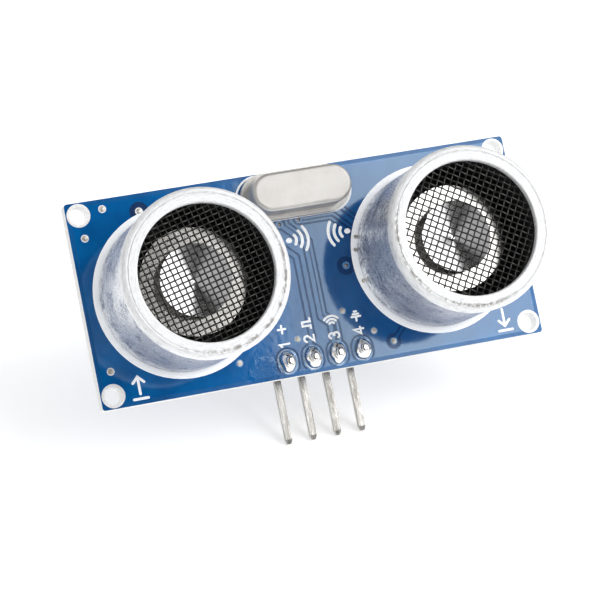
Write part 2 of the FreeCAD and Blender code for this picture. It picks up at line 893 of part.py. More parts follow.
def chip_body(centre_x, centre_z, lead_count):
    """Moulded package, its long side along Z, with sloping sides and a dimple beside the first lead."""
    length = chip_body_length(lead_count)
    bottom = pad_face + chip_standoff
    middle = pad_face + chip_lead_level + chip_lead_thickness / 2
    top = bottom + chip_body_thickness
    levels = [(bottom, chip_draft), (middle, 0), (top, chip_draft)]
    wires = []
    for level, inset in levels:
        half_x = chip_body_width / 2 - inset
        half_z = length / 2 - inset
        signs = [(-1, -1), (1, -1), (1, 1), (-1, 1), (-1, -1)]
        corners = [(centre_x + sx * half_x, centre_z + sz * half_z) for sx, sz in signs]
        wires.append(Part.makePolygon([vector(x, level, z) for x, z in corners]))
    shape = Part.makeLoft(wires, True, True)
    dimple_x = centre_x + chip_body_width / 2 - chip_dimple_inset
    dimple_z = centre_z + length / 2 - chip_dimple_inset
    return shape.cut(rod(dimple_x, dimple_z, chip_dimple_radius, top - chip_dimple_depth, top + 1))


def gull_wing(x_body, x_toe, centre_z):
    """One lead: out of the body, down and out along the board."""
    out = 1 if x_toe > x_body else -1
    thickness = chip_lead_thickness
    level = pad_face + chip_lead_level
    knee = x_toe - out * (chip_foot + 0.15)
    heel = x_toe - out * chip_foot
    y_floor = pad_face
    outline = [
        (x_body, level),
        (knee - out * thickness, level),
        (heel - out * thickness, y_floor),
        (x_toe, y_floor),
        (x_toe, y_floor + thickness),
        (heel, y_floor + thickness),
        (knee, level + thickness),
        (x_body, level + thickness),
        (x_body, level),
    ]
    low_z = centre_z - chip_lead_width / 2
    face = Part.Face(Part.makePolygon([vector(x, y, low_z) for x, y in outline]))
    return face.extrude(vector(0, 0, chip_lead_width))


def chip_leads(centre_x, centre_z, lead_count):
    leads = []
    for side in sides:
        body_x = centre_x + side * chip_body_width / 2
        toe_x = centre_x + side * chip_lead_span / 2
        leads += [gull_wing(body_x, toe_x, centre_z + row) for row in lead_rows(lead_count)]
    return Part.makeCompound(leads)


# ---- small parts on the back ----
def resistor_rows():
    return [resistor_column_low + resistor_column_pitch * index for index in range(resistor_column_count)]


def resistor_places():
    """(x, z, turned) for each resistor; turned ones stand with their long side along Z."""
    places = []
    for side in sides:
        places += [(side * resistor_column_x, row, False) for row in resistor_rows()]
        places += [(side * edge_column_x, -edge_column_pitch * index, True) for index in range(3)]
    places += [(top_row_start + top_row_pitch * index, top_row_z, True) for index in range(3)]
    return places


def capacitor_places():
    places = []
    for side in sides:
        for index in range(2):
            places.append((side * edge_column_x, edge_column_pitch * (index + 1), True))
        for index in range(3):
            places.append((side * (bottom_row_start + bottom_row_pitch * index), bottom_row_z, False))
    places += [(-top_row_start - top_row_pitch * index, top_row_z, True) for index in range(3)]
    return places


def two_ended(place, size):
    """The body and the pair of wrapped metal ends of a small two-terminal part."""
    x, z, is_turned = place
    length, width, thickness = size
    bottom = pad_face + cap_skin
    top = bottom + thickness

    def brick(offset, along, across, low, high):
        if is_turned:
            return block(x, z + offset, across, along, low, high)
        return block(x + offset, z, along, across, low, high)

    body = brick(0, length - 2 * cap_skin, width - 2 * cap_skin, bottom, top)
    ends = []
    for side in sides:
        offset = side * (length - cap_end) / 2
        end = brick(offset, cap_end, width, pad_face, top + cap_skin)
        ends.append(end.cut(body))
    return body, ends


def passives(places, size):
    bodies = []
    ends = []
    for place in places:
        body, pair = two_ended(place, size)
        bodies.append(body)
        ends += pair
    return Part.makeCompound(bodies), Part.makeCompound(ends)


def transistor_body():
    length, width, thickness = transistor_size
    low = pad_face + 0.1
    shape = block(transistor_x, transistor_z, length, width, low, low + thickness)
    top_edges = [edge for edge in shape.Edges if abs(edge.BoundBox.YMin - low - thickness) < 1e-6]
    return shape.makeChamfer(0.1, top_edges)


def transistor_legs():
    """(offset along X, direction along Z) of each leg."""
    return [(-transistor_leg_offset, -1), (transistor_leg_offset, -1), (0, 1)]


def transistor_leads():
    """Two bent leads below the body and one above."""
    leads = []
    for offset, direction in transistor_legs():
        x = transistor_x + offset
        root_z = transistor_z + direction * transistor_size[1] / 2
        shin = block(x, root_z + direction * 0.1, 0.4, 0.2, pad_face, pad_face + 0.6)
        foot = block(x, root_z + direction * 0.35, 0.4, 0.3, pad_face, pad_face + 0.12)
        leads.append(shin.fuse(foot).removeSplitter())
    return Part.makeCompound(leads)


def build_parts():
    parts = {
        "circuit_board": circuit_board(),
        "mounting_hole_plating": mounting_hole_plating(),
        "via_plating": via_plating(),
        "front_copper": front_copper(),
        "back_copper": back_copper(),
        "solder_pads": solder_pads(),
    }
    for name, centre_x in (("transmitter", -half_pitch), ("receiver", half_pitch)):
        parts[name + "_case"] = transducer_case(centre_x)
        parts[name + "_mesh_screen"] = mesh_screen(centre_x)
        parts[name + "_inner_sleeve"] = inner_sleeve(centre_x)
        parts[name + "_base_plate"] = base_plate(centre_x)
        parts[name + "_support_ring"] = support_ring(centre_x)
        parts[name + "_bender_plate"] = bender_plate(centre_x)
        parts[name + "_piezo_disc"] = piezo_disc(centre_x)
        parts[name + "_radiator_cone"] = radiator_cone(centre_x)
        parts[name + "_terminals"] = terminals(centre_x)
        parts[name + "_lead_wires"] = lead_wires(centre_x)
    parts["crystal_can"] = crystal_can()
    parts["crystal_base"] = crystal_base()
    parts["crystal_glass_seals"] = crystal_glass_seals()
    parts["crystal_leads"] = crystal_leads()
    parts["crystal_clips"] = crystal_clips()
    parts["crystal_quartz_blank"] = quartz_blank()
    parts["header_body"] = header_body()
    parts["header_pins"] = header_pins()
    parts["header_solder_joints"] = header_solder_joints()
    parts["transducer_solder_joints"] = transducer_solder_joints()
    parts["crystal_solder_joints"] = crystal_solder_joints()
    for name, x, z, lead_count in chip_list():
        parts[name + "_body"] = chip_body(x, z, lead_count)
        parts[name + "_leads"] = chip_leads(x, z, lead_count)
    parts["resistor_bodies"], parts["resistor_ends"] = passives(resistor_places(), resistor_size)
    parts["capacitor_bodies"], parts["capacitor_ends"] = passives(capacitor_places(), capacitor_size)
    parts["transistor_body"] = transistor_body()
    parts["transistor_leads"] = transistor_leads()
    return parts


os.makedirs("parts", exist_ok=True)
for node, shape in build_parts().items():
    if not shape.isValid():
        raise ValueError(node + " isn't a valid shape")
    shape.exportStep("parts/" + node + ".step")
    print(node, len(shape.Solids), round(shape.Volume, 3))
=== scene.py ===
import bpy
import json
import math
import random
from mathutils import Matrix, Vector, noise


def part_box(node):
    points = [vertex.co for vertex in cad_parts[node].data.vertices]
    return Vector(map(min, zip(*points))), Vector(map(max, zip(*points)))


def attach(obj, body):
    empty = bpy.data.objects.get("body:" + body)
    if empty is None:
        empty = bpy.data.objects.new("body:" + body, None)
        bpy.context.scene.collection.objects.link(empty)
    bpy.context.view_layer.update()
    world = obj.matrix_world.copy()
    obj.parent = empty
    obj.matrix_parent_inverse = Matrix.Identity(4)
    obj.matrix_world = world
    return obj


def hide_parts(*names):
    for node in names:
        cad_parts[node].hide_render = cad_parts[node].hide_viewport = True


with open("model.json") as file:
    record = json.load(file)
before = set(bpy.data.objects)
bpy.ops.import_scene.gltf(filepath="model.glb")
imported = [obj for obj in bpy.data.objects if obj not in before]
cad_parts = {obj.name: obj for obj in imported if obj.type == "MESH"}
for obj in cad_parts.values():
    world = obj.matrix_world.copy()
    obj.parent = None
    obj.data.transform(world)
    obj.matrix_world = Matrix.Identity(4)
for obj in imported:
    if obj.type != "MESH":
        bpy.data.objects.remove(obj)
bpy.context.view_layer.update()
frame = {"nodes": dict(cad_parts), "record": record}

# Places and sizes are in millimetres in the row's frame.
# -Y is the front, +X the receiver's side and +Z up.
MM = 0.001
rng = random.Random(7)


def node_box(name):
    """Lowest and highest corners of a CAD node, in millimetres."""
    low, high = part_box(name)
    return low / MM, high / MM


board_low, board_high = node_box("circuit_board")
case_low, case_high = node_box("receiver_case")
crystal_low, crystal_high = node_box("crystal_can")
pins_low, pins_high = node_box("header_pins")
copper_low, _ = node_box("front_copper")
_, back_copper_high = node_box("back_copper")

board_front = board_low.y
board_back = board_high.y
mask_front = copper_low.y
mask_back = back_copper_high.y
case_x = (case_low.x + case_high.x) / 2
pin_pitch = 2.54
pin_count = 4
pin_columns = [pin_pitch * (index - (pin_count - 1) / 2) for index in range(pin_count)]
pin_row_z = -8.5
rims = {"transmitter": -case_x, "receiver": case_x}


# ---------------------------------------------------------------- shader helpers
def add(tree, kind, inputs=None, **settings):
    """A node with its settings made and its inputs set to a value or joined to a socket."""
    made = tree.nodes.new(kind)
    for key, value in settings.items():
        setattr(made, key, value)
    for key, value in (inputs or {}).items():
        if isinstance(value, bpy.types.NodeSocket):
            tree.links.new(value, made.inputs[key])
        else:
            made.inputs[key].default_value = value
    return made


def new_material(name, inputs=None):
    """A material with its node tree and its surface shader, whose inputs are set."""
    material = bpy.data.materials.new(name)
    material.use_nodes = True
    surface = material.node_tree.nodes["Principled BSDF"]
    for key, value in (inputs or {}).items():
        surface.inputs[key].default_value = value
    return material, material.node_tree, surface


def feed(tree, socket, surface, name):
    """Joins a socket to an input of the surface shader."""
    tree.links.new(socket, surface.inputs[name])


def place_in_mm(tree, stretch=(1, 1, 1)):
    """The point's place in millimetres, with each axis stretched."""
    spot = add(tree, "ShaderNodeTexCoord").outputs["Object"]
    scale = [1 / MM * share for share in stretch]
    return add(tree, "ShaderNodeMapping", {"Vector": spot, "Scale": scale}).outputs["Vector"]


def split(tree, vector):
    """The X, Y and Z of a vector."""
    parts = add(tree, "ShaderNodeSeparateXYZ", {"Vector": vector})
    return [parts.outputs[axis] for axis in "XYZ"]


def flatness(tree):
    """1 where the surface faces the front or the back, 0 on its edges and in its holes."""
    _, facing, _ = split(tree, add(tree, "ShaderNodeNewGeometry").outputs["True Normal"])
    edge_on, face_on = 0.55, 0.75
    return span(tree, maths(tree, "ABSOLUTE", facing), edge_on, face_on)


def distance(tree, vector, place):
    """How far a point is from a place."""
    made = add(tree, "ShaderNodeVectorMath", {0: vector, 1: place}, operation="DISTANCE")
    return made.outputs["Value"]


def place_in_case(tree):
    """The point's place in millimetres from the nearer transducer's axis; the first value grows outwards
    from the board's middle."""
    x, y, z = split(tree, place_in_mm(tree))
    across = maths(tree, "SUBTRACT", maths(tree, "ABSOLUTE", x), case_x)
    return across, y, z


def maths(tree, operation, first, second=0.0, third=0.0):
    """One step of arithmetic on numbers or sockets."""
    made = add(tree, "ShaderNodeMath", {0: first, 1: second, 2: third}, operation=operation)
    return made.outputs[0]


def grain(tree, vector, scale, detail=3.0, roughness=0.5):
    """Noise between 0 and 1."""
    inputs = {"Vector": vector, "Scale": scale, "Detail": detail, "Roughness": roughness}
    return add(tree, "ShaderNodeTexNoise", inputs).outputs["Fac"]


def span(tree, value, low, high, to_low=0.0, to_high=1.0):
    """Maps low..high to to_low..to_high with soft ends, clamped."""
    inputs = {"Value": value, "From Min": low, "From Max": high, "To Min": to_low, "To Max": to_high}
    made = add(tree, "ShaderNodeMapRange", inputs, interpolation_type="SMOOTHSTEP")
    return made.outputs["Result"]


def mix_colour(tree, factor, first, second):
    """The first colour where the factor is 0, the second where it is 1."""
    made = add(tree, "ShaderNodeMix", {0: factor, 6: first, 7: second}, data_type="RGBA")
    return made.outputs[2]


def bump(tree, height, depth_mm, normal=None):
    """Relief from a height between 0 and 1, on top of another relief if one is given."""
    inputs = {"Height": height, "Distance": depth_mm * MM, "Strength": 1.0}
    if normal is not None:
        inputs["Normal"] = normal
    return add(tree, "ShaderNodeBump", inputs).outputs["Normal"]


def colour(red, green, blue):
    """A colour from 0..255 screen values."""
    def linear(value):
        share = value / 255
        return share / 12.92 if share <= 0.04045 else ((share + 0.055) / 1.055) ** 2.4
    return (linear(red), linear(green), linear(blue), 1.0)


# ---------------------------------------------------------------- materials
# Small plated holes that hold solder, (x, z); two of them come up through the white print.
vias_in_print = ((5.41, 2.4), (5.14, 1.15))
unprinted_radius = 0.2
filled_vias = (
    (-18.87, 9.03), (-21.06, 6.49), (-21.07, -6.43), (-15.38, 8.25), (-8.54, -7.8),
    (-2.42, -6.49), (2.59, -4.54), (5.33, -6.97), (7.12, -8.3), (5.33, -1.97),
)

# Plated holes nearer to the board's middle than this are under the mask.
masked_reach = 12.0
flux_patch = (-6.2, board_front, -9.2)
# Painted glow of the white print, as an emission strength.
ink_painted_glow = 0.2

# The solder mask: over copper, over the bare board, and a painted shade that darkens it towards the
# receiver's side.
copper_blue = colour(0, 98, 165)
copper_deep = colour(0, 84, 148)
laminate_blue = colour(0, 50, 100)
laminate_deep = colour(0, 40, 86)
# Painted shade: a darker blue for the receiver's side of the board.
receiver_side_shaded_blue = colour(0, 58, 116)
receiver_shade_change = (-9.0, 0.0)
receiver_shade_share = 0.5
border_width = 0.5
border_softness = 0.1
border_share = 0.8

# The aluminium cases.
wall_light = colour(248, 249, 250)
# Partly painted reflection: the blue-grey of the walls' speckle is the blue board reflected in them.
wall_speckle_and_painted_reflection = colour(92, 106, 138)
wall_streak = colour(206, 209, 216)
# Painted shade: the walls darken towards their lower side.
wall_painted_shade = colour(112, 122, 144)
wall_sheen = 0.75
rim_light = colour(243, 244, 245)
rim_dark = colour(192, 194, 198)
rim_sheen = 0.3
rim_roughness = 0.5
rim_start = 10.6
groove_radius = 7.4
# Brown in the rim's groove: painted shade all round it, and scuffs low down towards the board's middle.
groove_shade_and_scuff_brown = colour(128, 120, 112)
cloud_share = 0.4


def mask_colour(tree, spot, base, deep):
    """Cloudy blue with a painted shade that darkens it towards the receiver's side; at the board's border
    it is as light as over copper.
    """
    cloud = span(tree, grain(tree, spot, 0.35, 2.0), 0.3, 0.7)
    x, _, z = split(tree, spot)
    # Painted shade: the blue darkens from x -9 to 0 towards the receiver, where its case shades the board.
    receiver_side_shade = span(tree, x, *receiver_shade_change, 0.0, receiver_shade_share)
    past_x = maths(tree, "SUBTRACT", maths(tree, "ABSOLUTE", x), board_high.x)
    past_z = maths(tree, "SUBTRACT", maths(tree, "ABSOLUTE", z), board_high.z)
    past = maths(tree, "MAXIMUM", past_x, past_z)
    border = span(tree, past, -border_width - border_softness, -border_width, 0.0, border_share)
    inside = mix_colour(tree, receiver_side_shade, mix_colour(tree, cloud, base, deep), receiver_side_shaded_blue)
    outside = mix_colour(tree, cloud, copper_blue, copper_deep)
    return mix_colour(tree, border, inside, outside)


def solder_mask(name, base, deep, gloss_roughness, shine, edge_light, edge_dark):
    """Glossy blue solder mask; another colour shows at the edges and in the holes: the bare board's own
    colour under the bare-board mask, and on copper a lighter blue as a painted highlight along its edges.
    """
    edge_roughness = 0.6
    inputs = {"IOR": 1.52, "Specular IOR Level": shine, "Specular Tint": (0.76, 0.92, 1.0, 1.0)}
    material, tree, surface = new_material(name, inputs)
    spot = place_in_mm(tree)
    lacquer_with_painted_light = mask_colour(tree, spot, base, deep)
    weave = grain(tree, place_in_mm(tree, (1, 0.2, 1)), 9.0, 2.0)
    edges_and_painted_highlight = mix_colour(tree, weave, edge_light, edge_dark)
    flat = flatness(tree)
    feed(tree, mix_colour(tree, flat, edges_and_painted_highlight, lacquer_with_painted_light), surface, "Base Color")
    feed(tree, span(tree, flat, 0, 1, edge_roughness, gloss_roughness), surface, "Roughness")
    feed(tree, mask_ripple(tree, spot), surface, "Normal")
    return material


def mask_ripple(tree, spot):
    """Gentle waves all over, and a patch of small pits beside the first pin where flux has dried."""
    wave_depth, pit_depth = 0.004, 0.08
    patch_core, patch_edge = 1.2, 2.2
    wave = bump(tree, grain(tree, spot, 1.3, 3.0), wave_depth)
    away = distance(tree, spot, flux_patch)
    ragged = maths(tree, "ADD", away, grain(tree, spot, 1.6, 3.0))
    patch = span(tree, ragged, patch_core, patch_edge, 1.0, 0.0)
    pits = maths(tree, "MULTIPLY", grain(tree, spot, 5.0, 4.0, 0.7), patch)
    return bump(tree, pits, pit_depth, wave)


def metal(name, light, dark, roughness, patch=0.6, relief=0.002, fine=14.0, spread=0.1,
          stretch=(1, 1, 1), sheen=1.0):
    """Metal with cloudy tone, fine grain and slight unevenness; a lower sheen is more matt."""
    material, tree, surface = new_material(name, {"Metallic": sheen})
    spot = place_in_mm(tree, stretch)
    cloud = grain(tree, spot, patch, 4.0, 0.6)
    feed(tree, mix_colour(tree, span(tree, cloud, 0.3, 0.7), light, dark), surface, "Base Color")
    speckle = grain(tree, spot, fine, 3.0, 0.6)
    rough = span(tree, speckle, 0.3, 0.7, roughness - spread, roughness + spread)
    feed(tree, rough, surface, "Roughness")
    feed(tree, bump(tree, speckle, relief), surface, "Normal")
    return material


def moulded(name, light, dark, roughness, fine=18.0, relief=0.004):
    """Moulded plastic or resin with a fine matt grain."""
    material, tree, surface = new_material(name, {"IOR": 1.48})
    spot = place_in_mm(tree)
    speckle = grain(tree, spot, fine, 4.0, 0.65)
    feed(tree, mix_colour(tree, span(tree, speckle, 0.35, 0.65), light, dark), surface, "Base Color")
    cloud = grain(tree, spot, 0.9, 2.0)
    spread = 0.08
    rough = span(tree, cloud, 0.3, 0.7, roughness - spread, roughness + spread)
    feed(tree, rough, surface, "Roughness")
    feed(tree, bump(tree, speckle, relief), surface, "Normal")
    return material


def polar_place(tree, around, turns, second, stretch, third):
    """A place for streaks that run round or along a turned part."""
    first = maths(tree, "MULTIPLY", around, turns)
    stretched = maths(tree, "MULTIPLY", second, stretch)
    made = add(tree, "ShaderNodeCombineXYZ", {"X": first, "Y": stretched, "Z": third})
    return made.outputs[0]


def wall_colour(tree, mottle, streaks, up):
    """Mottled aluminium with fine draw lines, darker towards its lower side by painted shade; the mottle's
    blue-grey is partly a painted reflection of the board.
    """
    tone = mix_colour(tree, span(tree, mottle, 0.46, 0.6), wall_light, wall_speckle_and_painted_reflection)
    tone = mix_colour(tree, span(tree, streaks, 0.52, 0.8, 0.0, 0.25), tone, wall_streak)
    # Painted shade on the walls' lower side.
    shade_start, shade_end, shade_share = -2.5, -7.0, 0.55
    underside_painted_shade = span(tree, up, shade_start, shade_end, 0.0, shade_share)
    return mix_colour(tree, underside_painted_shade, tone, wall_painted_shade)


def rim_colour(tree, spot, rings, radius, across, up):
    """Pale turned aluminium; its groove is darkened brown in patches: painted shade all round it, and real
    scuffs that grow low down towards the board's middle.
    """
    tone = mix_colour(tree, span(tree, rings, 0.42, 0.72, 0.0, 0.7), rim_light, rim_dark)
    groove_patches = grain(tree, spot, 1.7, 6.0, 0.75)
    from_groove = maths(tree, "ABSOLUTE", maths(tree, "SUBTRACT", radius, groove_radius))
    groove = span(tree, from_groove, 0.05, 0.3, 1.0, 0.0)
    low_inside = span(tree, maths(tree, "ADD", across, up), -1.0, -8.0)
    # The share all round is painted shade in the groove; the share low inside is scuffs.
    groove_shade_all_round, more_low_inside = 0.12, 0.6
    share = maths(tree, "MULTIPLY_ADD", low_inside, more_low_inside, groove_shade_all_round)
    groove_shade_and_scuffs = maths(tree, "MULTIPLY", span(tree, groove_patches, 0.44, 0.56), groove)
    groove_shade_and_scuffs = maths(tree, "MULTIPLY", groove_shade_and_scuffs, share)
    return mix_colour(tree, groove_shade_and_scuffs, tone, groove_shade_and_scuff_brown)


def case_metal():
    """Satin aluminium: speckled walls whose blue-grey is partly a painted reflection of the board, with
    fine draw lines and painted shade on their lower side; a paler matt rim with turned rings and a groove
    darkened by painted shade and scuffs.
    """
    material, tree, surface = new_material("case_aluminium")
    across, along, up = place_in_case(tree)
    squares = maths(tree, "ADD", maths(tree, "POWER", across, 2.0), maths(tree, "POWER", up, 2.0))
    radius = maths(tree, "SQRT", squares)
    around = maths(tree, "ARCTAN2", up, across)
    ahead = maths(tree, "MULTIPLY", along, -1.0)
    rim = span(tree, ahead, rim_start - 0.2, rim_start + 0.1)
    spot = place_in_mm(tree)
    cloud = maths(tree, "MULTIPLY", grain(tree, spot, 0.55, 6.0, 0.68), cloud_share)
    speckle = maths(tree, "MULTIPLY", grain(tree, spot, 3.6, 5.0, 0.9), 1 - cloud_share)
    mottle = maths(tree, "ADD", cloud, speckle)
    streaks = grain(tree, polar_place(tree, around, 34.0, along, 1.1, radius), 1.0, 4.0, 0.6)
    rings = grain(tree, polar_place(tree, around, 9.0, radius, 7.0, along), 1.0, 6.0, 0.75)
    wall_tone = wall_colour(tree, mottle, streaks, up)
    rim_tone = rim_colour(tree, spot, rings, radius, across, up)
    feed(tree, mix_colour(tree, rim, wall_tone, rim_tone), surface, "Base Color")
    feed(tree, span(tree, rim, 0, 1, wall_sheen, rim_sheen), surface, "Metallic")
    wall_rough = span(tree, mottle, 0.45, 0.58, 0.26, 0.5)
    rough = add(tree, "ShaderNodeMix", {0: rim, 2: wall_rough, 3: rim_roughness}, data_type="FLOAT")
    feed(tree, rough.outputs[0], surface, "Roughness")
    first = bump(tree, grain(tree, spot, 16.0, 3.0, 0.6), 0.004)
    second = bump(tree, mottle, 0.02, first)
    feed(tree, bump(tree, streaks, 0.004, second), surface, "Normal")
    return material


def silk_ink():
    """White print with a painted glow that makes it brighter than its light alone; it is left out over the
    holes that come through it.
    """
    material, tree, surface = new_material("silk_ink", {"Roughness": 0.5, "IOR": 1.45})
    spot = place_in_mm(tree)
    speckle = grain(tree, spot, 11.0, 4.0, 0.7)
    tone = mix_colour(tree, span(tree, speckle, 0.35, 0.7), colour(253, 254, 255), colour(232, 237, 243))
    feed(tree, tone, surface, "Base Color")
    # Painted glow: the print emits its own colour.
    feed(tree, tone, surface, "Emission Color")
    surface.inputs["Emission Strength"].default_value = ink_painted_glow
    cover = 1.0
    edge_softness = 0.02
    x, _, z = split(tree, spot)
    flat_spot = add(tree, "ShaderNodeCombineXYZ", {"X": x, "Z": z}).outputs[0]
    for x, z in vias_in_print:
        away = distance(tree, flat_spot, (x, 0, z))
        edge = span(tree, away, unprinted_radius - edge_softness, unprinted_radius + edge_softness)
        cover = maths(tree, "MULTIPLY", cover, edge)
    feed(tree, cover, surface, "Alpha")
    feed(tree, bump(tree, speckle, 0.006), surface, "Normal")
    return material


def hole_plating():
    """Bright tin on the outer holes; the middle ones are under the mask, their rings a light blue with
    painted sheen, and brown down the hole: copper tone darkened by painted shade.
    """
    material, tree, surface = new_material("hole_plating", {"IOR": 1.52})
    spot = place_in_mm(tree)
    speckle = grain(tree, spot, 7.0, 3.0)
    tin = mix_colour(tree, span(tree, speckle, 0.3, 0.7), colour(252, 252, 252), colour(232, 232, 230))
    # Painted shade: the dark brown down the middle holes.
    shade = mix_colour(tree, span(tree, speckle, 0.3, 0.7), colour(120, 104, 84), colour(70, 62, 54))
    # Painted sheen: the light blue of the masked rings.
    lacquer_with_painted_light = mix_colour(tree, span(tree, speckle, 0.3, 0.7), colour(110, 152, 196), colour(40, 110, 172))
    flat = flatness(tree)
    x, _, _ = split(tree, spot)
    outer = span(tree, maths(tree, "ABSOLUTE", x), masked_reach, masked_reach + 0.5)
    inner_tone = mix_colour(tree, flat, shade, lacquer_with_painted_light)
    feed(tree, mix_colour(tree, outer, inner_tone, tin), surface, "Base Color")
    feed(tree, span(tree, outer, 0, 1, 0.0, 0.55), surface, "Metallic")
    feed(tree, span(tree, outer, 0, 1, 0.1, 0.45), surface, "Roughness")
    feed(tree, bump(tree, speckle, 0.003), surface, "Normal")
    return material


def pad_solder():
    """Tin on the pads at the back; on the front it is duller and a blue-grey of painted sheen, like the
    board's sheen.
    """
    material, tree, surface = new_material("pad_solder")
    spot = place_in_mm(tree)
    cloud = span(tree, grain(tree, spot, 1.6, 4.0), 0.3, 0.7)
    clean = mix_colour(tree, cloud, colour(212, 211, 207), colour(180, 179, 174))
    # Painted sheen: the front pads take the blue-grey of the board's sheen.
    front_painted_sheen = mix_colour(tree, cloud, colour(128, 156, 188), colour(84, 122, 166))
    _, depth, _ = split(tree, spot)
    behind = span(tree, depth, board_front, board_back)
    feed(tree, mix_colour(tree, behind, front_painted_sheen, clean), surface, "Base Color")
    feed(tree, span(tree, behind, 0, 1, 0.25, 0.95), surface, "Metallic")
    feed(tree, span(tree, cloud, 0, 1, 0.16, 0.3), surface, "Roughness")
    feed(tree, bump(tree, grain(tree, spot, 3.0, 4.0), 0.015), surface, "Normal")
    return material


def glassy(name, tint, roughness):
    """Clear tinted glass with slightly uneven polish."""
    inputs = {"Base Color": tint, "Transmission Weight": 0.9, "IOR": 1.5}
    material, tree, surface = new_material(name, inputs)
    cloud = grain(tree, place_in_mm(tree), 3.0, 2.0)
    feed(tree, span(tree, cloud, 0.3, 0.7, roughness, roughness + 0.08), surface, "Roughness")
    return material


def board_materials():
    """The board's laminate, copper, plating and pads."""
    return {
        "solder_mask_board": solder_mask(
            "mask_over_laminate", laminate_blue, laminate_deep, gloss_roughness=0.14, shine=0.44,
            edge_light=colour(222, 222, 220), edge_dark=colour(250, 250, 248)),
        "masked_copper": solder_mask(
            "mask_over_copper", copper_blue, copper_deep, gloss_roughness=0.07, shine=0.72,
            # Painted highlight: a lighter blue on the copper's steep edges.
            edge_light=colour(96, 150, 200), edge_dark=colour(60, 124, 182)),
        "hole_plating": hole_plating(),
        "pad_solder": pad_solder(),
        "via_tin": metal(
            "via_tin", colour(238, 235, 230), colour(178, 170, 158), 0.4, patch=3.0, fine=9.0, sheen=0.7),
        "solder": metal(
            "solder", colour(250, 249, 247), colour(230, 228, 224), 0.1, patch=1.2, relief=0.001,
            fine=4.0, spread=0.03),
    }


def transducer_materials():
    """The pieces of the transmitter and the receiver."""
    return {
        "case_aluminium": case_metal(),
        "screen_wire": metal(
            "screen_wire", colour(92, 92, 90), colour(60, 60, 59), 0.4, patch=3.0, fine=24.0),
        "black_resin": moulded("black_resin", colour(26, 26, 27), colour(46, 46, 47), 0.5),
        "silicone": moulded("silicone", colour(226, 224, 214), colour(210, 208, 198), 0.45, fine=9.0),
        "bender_metal": metal(
            "bender_metal", colour(192, 190, 186), colour(174, 172, 168), 0.16, patch=1.2, relief=0.001,
            spread=0.03),
        "piezo_ceramic": moulded("piezo_ceramic", colour(212, 204, 184), colour(190, 182, 160), 0.6),
        "cone_aluminium": metal(
            "cone_aluminium", colour(248, 248, 248), colour(234, 234, 235), 0.2, patch=1.5, relief=0.001,
            spread=0.04),
        "tinned_wire": metal("tinned_wire", colour(206, 206, 204), colour(182, 182, 180), 0.3, patch=1.0),
    }


def small_part_materials():
    """The crystal, the header, the chips and the small parts."""
    return {
        "crystal_nickel": metal(
            "crystal_nickel", colour(212, 210, 206), colour(204, 201, 197), 0.36, patch=0.5, relief=0.006,
            fine=16.0, spread=0.05, sheen=0.7),
        "seal_glass": glassy("seal_glass", colour(120, 140, 138), 0.08),
        "quartz": glassy("quartz", colour(236, 240, 240), 0.04),
        "header_plastic": moulded("header_plastic", colour(18, 18, 19), colour(32, 32, 33), 0.46),
        "pin_metal": metal(
            "pin_metal", colour(208, 206, 202), colour(150, 147, 142), 0.3, patch=2.2, relief=0.0006,
            spread=0.08, stretch=(1, 1, 0.12), sheen=0.9),
        "chip_epoxy": moulded(
            "chip_epoxy", colour(24, 24, 26), colour(40, 40, 42), 0.55, fine=26.0, relief=0.006),
        "chip_lead": metal("chip_lead", colour(204, 203, 200), colour(176, 175, 171), 0.32, patch=1.4),
        "resistor_glaze": moulded(
            "resistor_glaze", colour(18, 18, 20), colour(26, 26, 29), 0.25, fine=8.0, relief=0.003),
        "capacitor_ceramic": moulded(
            "capacitor_ceramic", colour(176, 146, 108), colour(154, 124, 88), 0.5, fine=12.0),
        "end_metal": metal(
            "end_metal", colour(206, 205, 202), colour(180, 178, 174), 0.28, patch=2.0, relief=0.008,
            fine=5.0),
    }


materials = {**board_materials(), **transducer_materials(), **small_part_materials()}
ink = silk_ink()


# ---------------------------------------------------------------- mesh helpers
def make_piece(name, vertices, faces, material, sharp=35):
    """A mesh piece from places in millimetres, riding on the module."""
    mesh = bpy.data.meshes.new(name)
    mesh.from_pydata([[value * MM for value in vertex] for vertex in vertices], [], faces)
    mesh.validate()
    mesh.shade_smooth()
    mesh.set_sharp_from_angle(angle=math.radians(sharp))
    mesh.materials.append(material)
    piece = bpy.data.objects.new(name, mesh)
    bpy.context.scene.collection.objects.link(piece)
    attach(piece, "module")
    return piece


def ring_faces(rings, size):
    """Quads that join each ring of vertices to the next."""
    faces = []
    for ring in range(rings - 1):
        here = ring * size
        there = here + size
        for index in range(size):
            after = (index + 1) % size
            faces.append((here + index, here + after, there + after, there + index))
    return faces


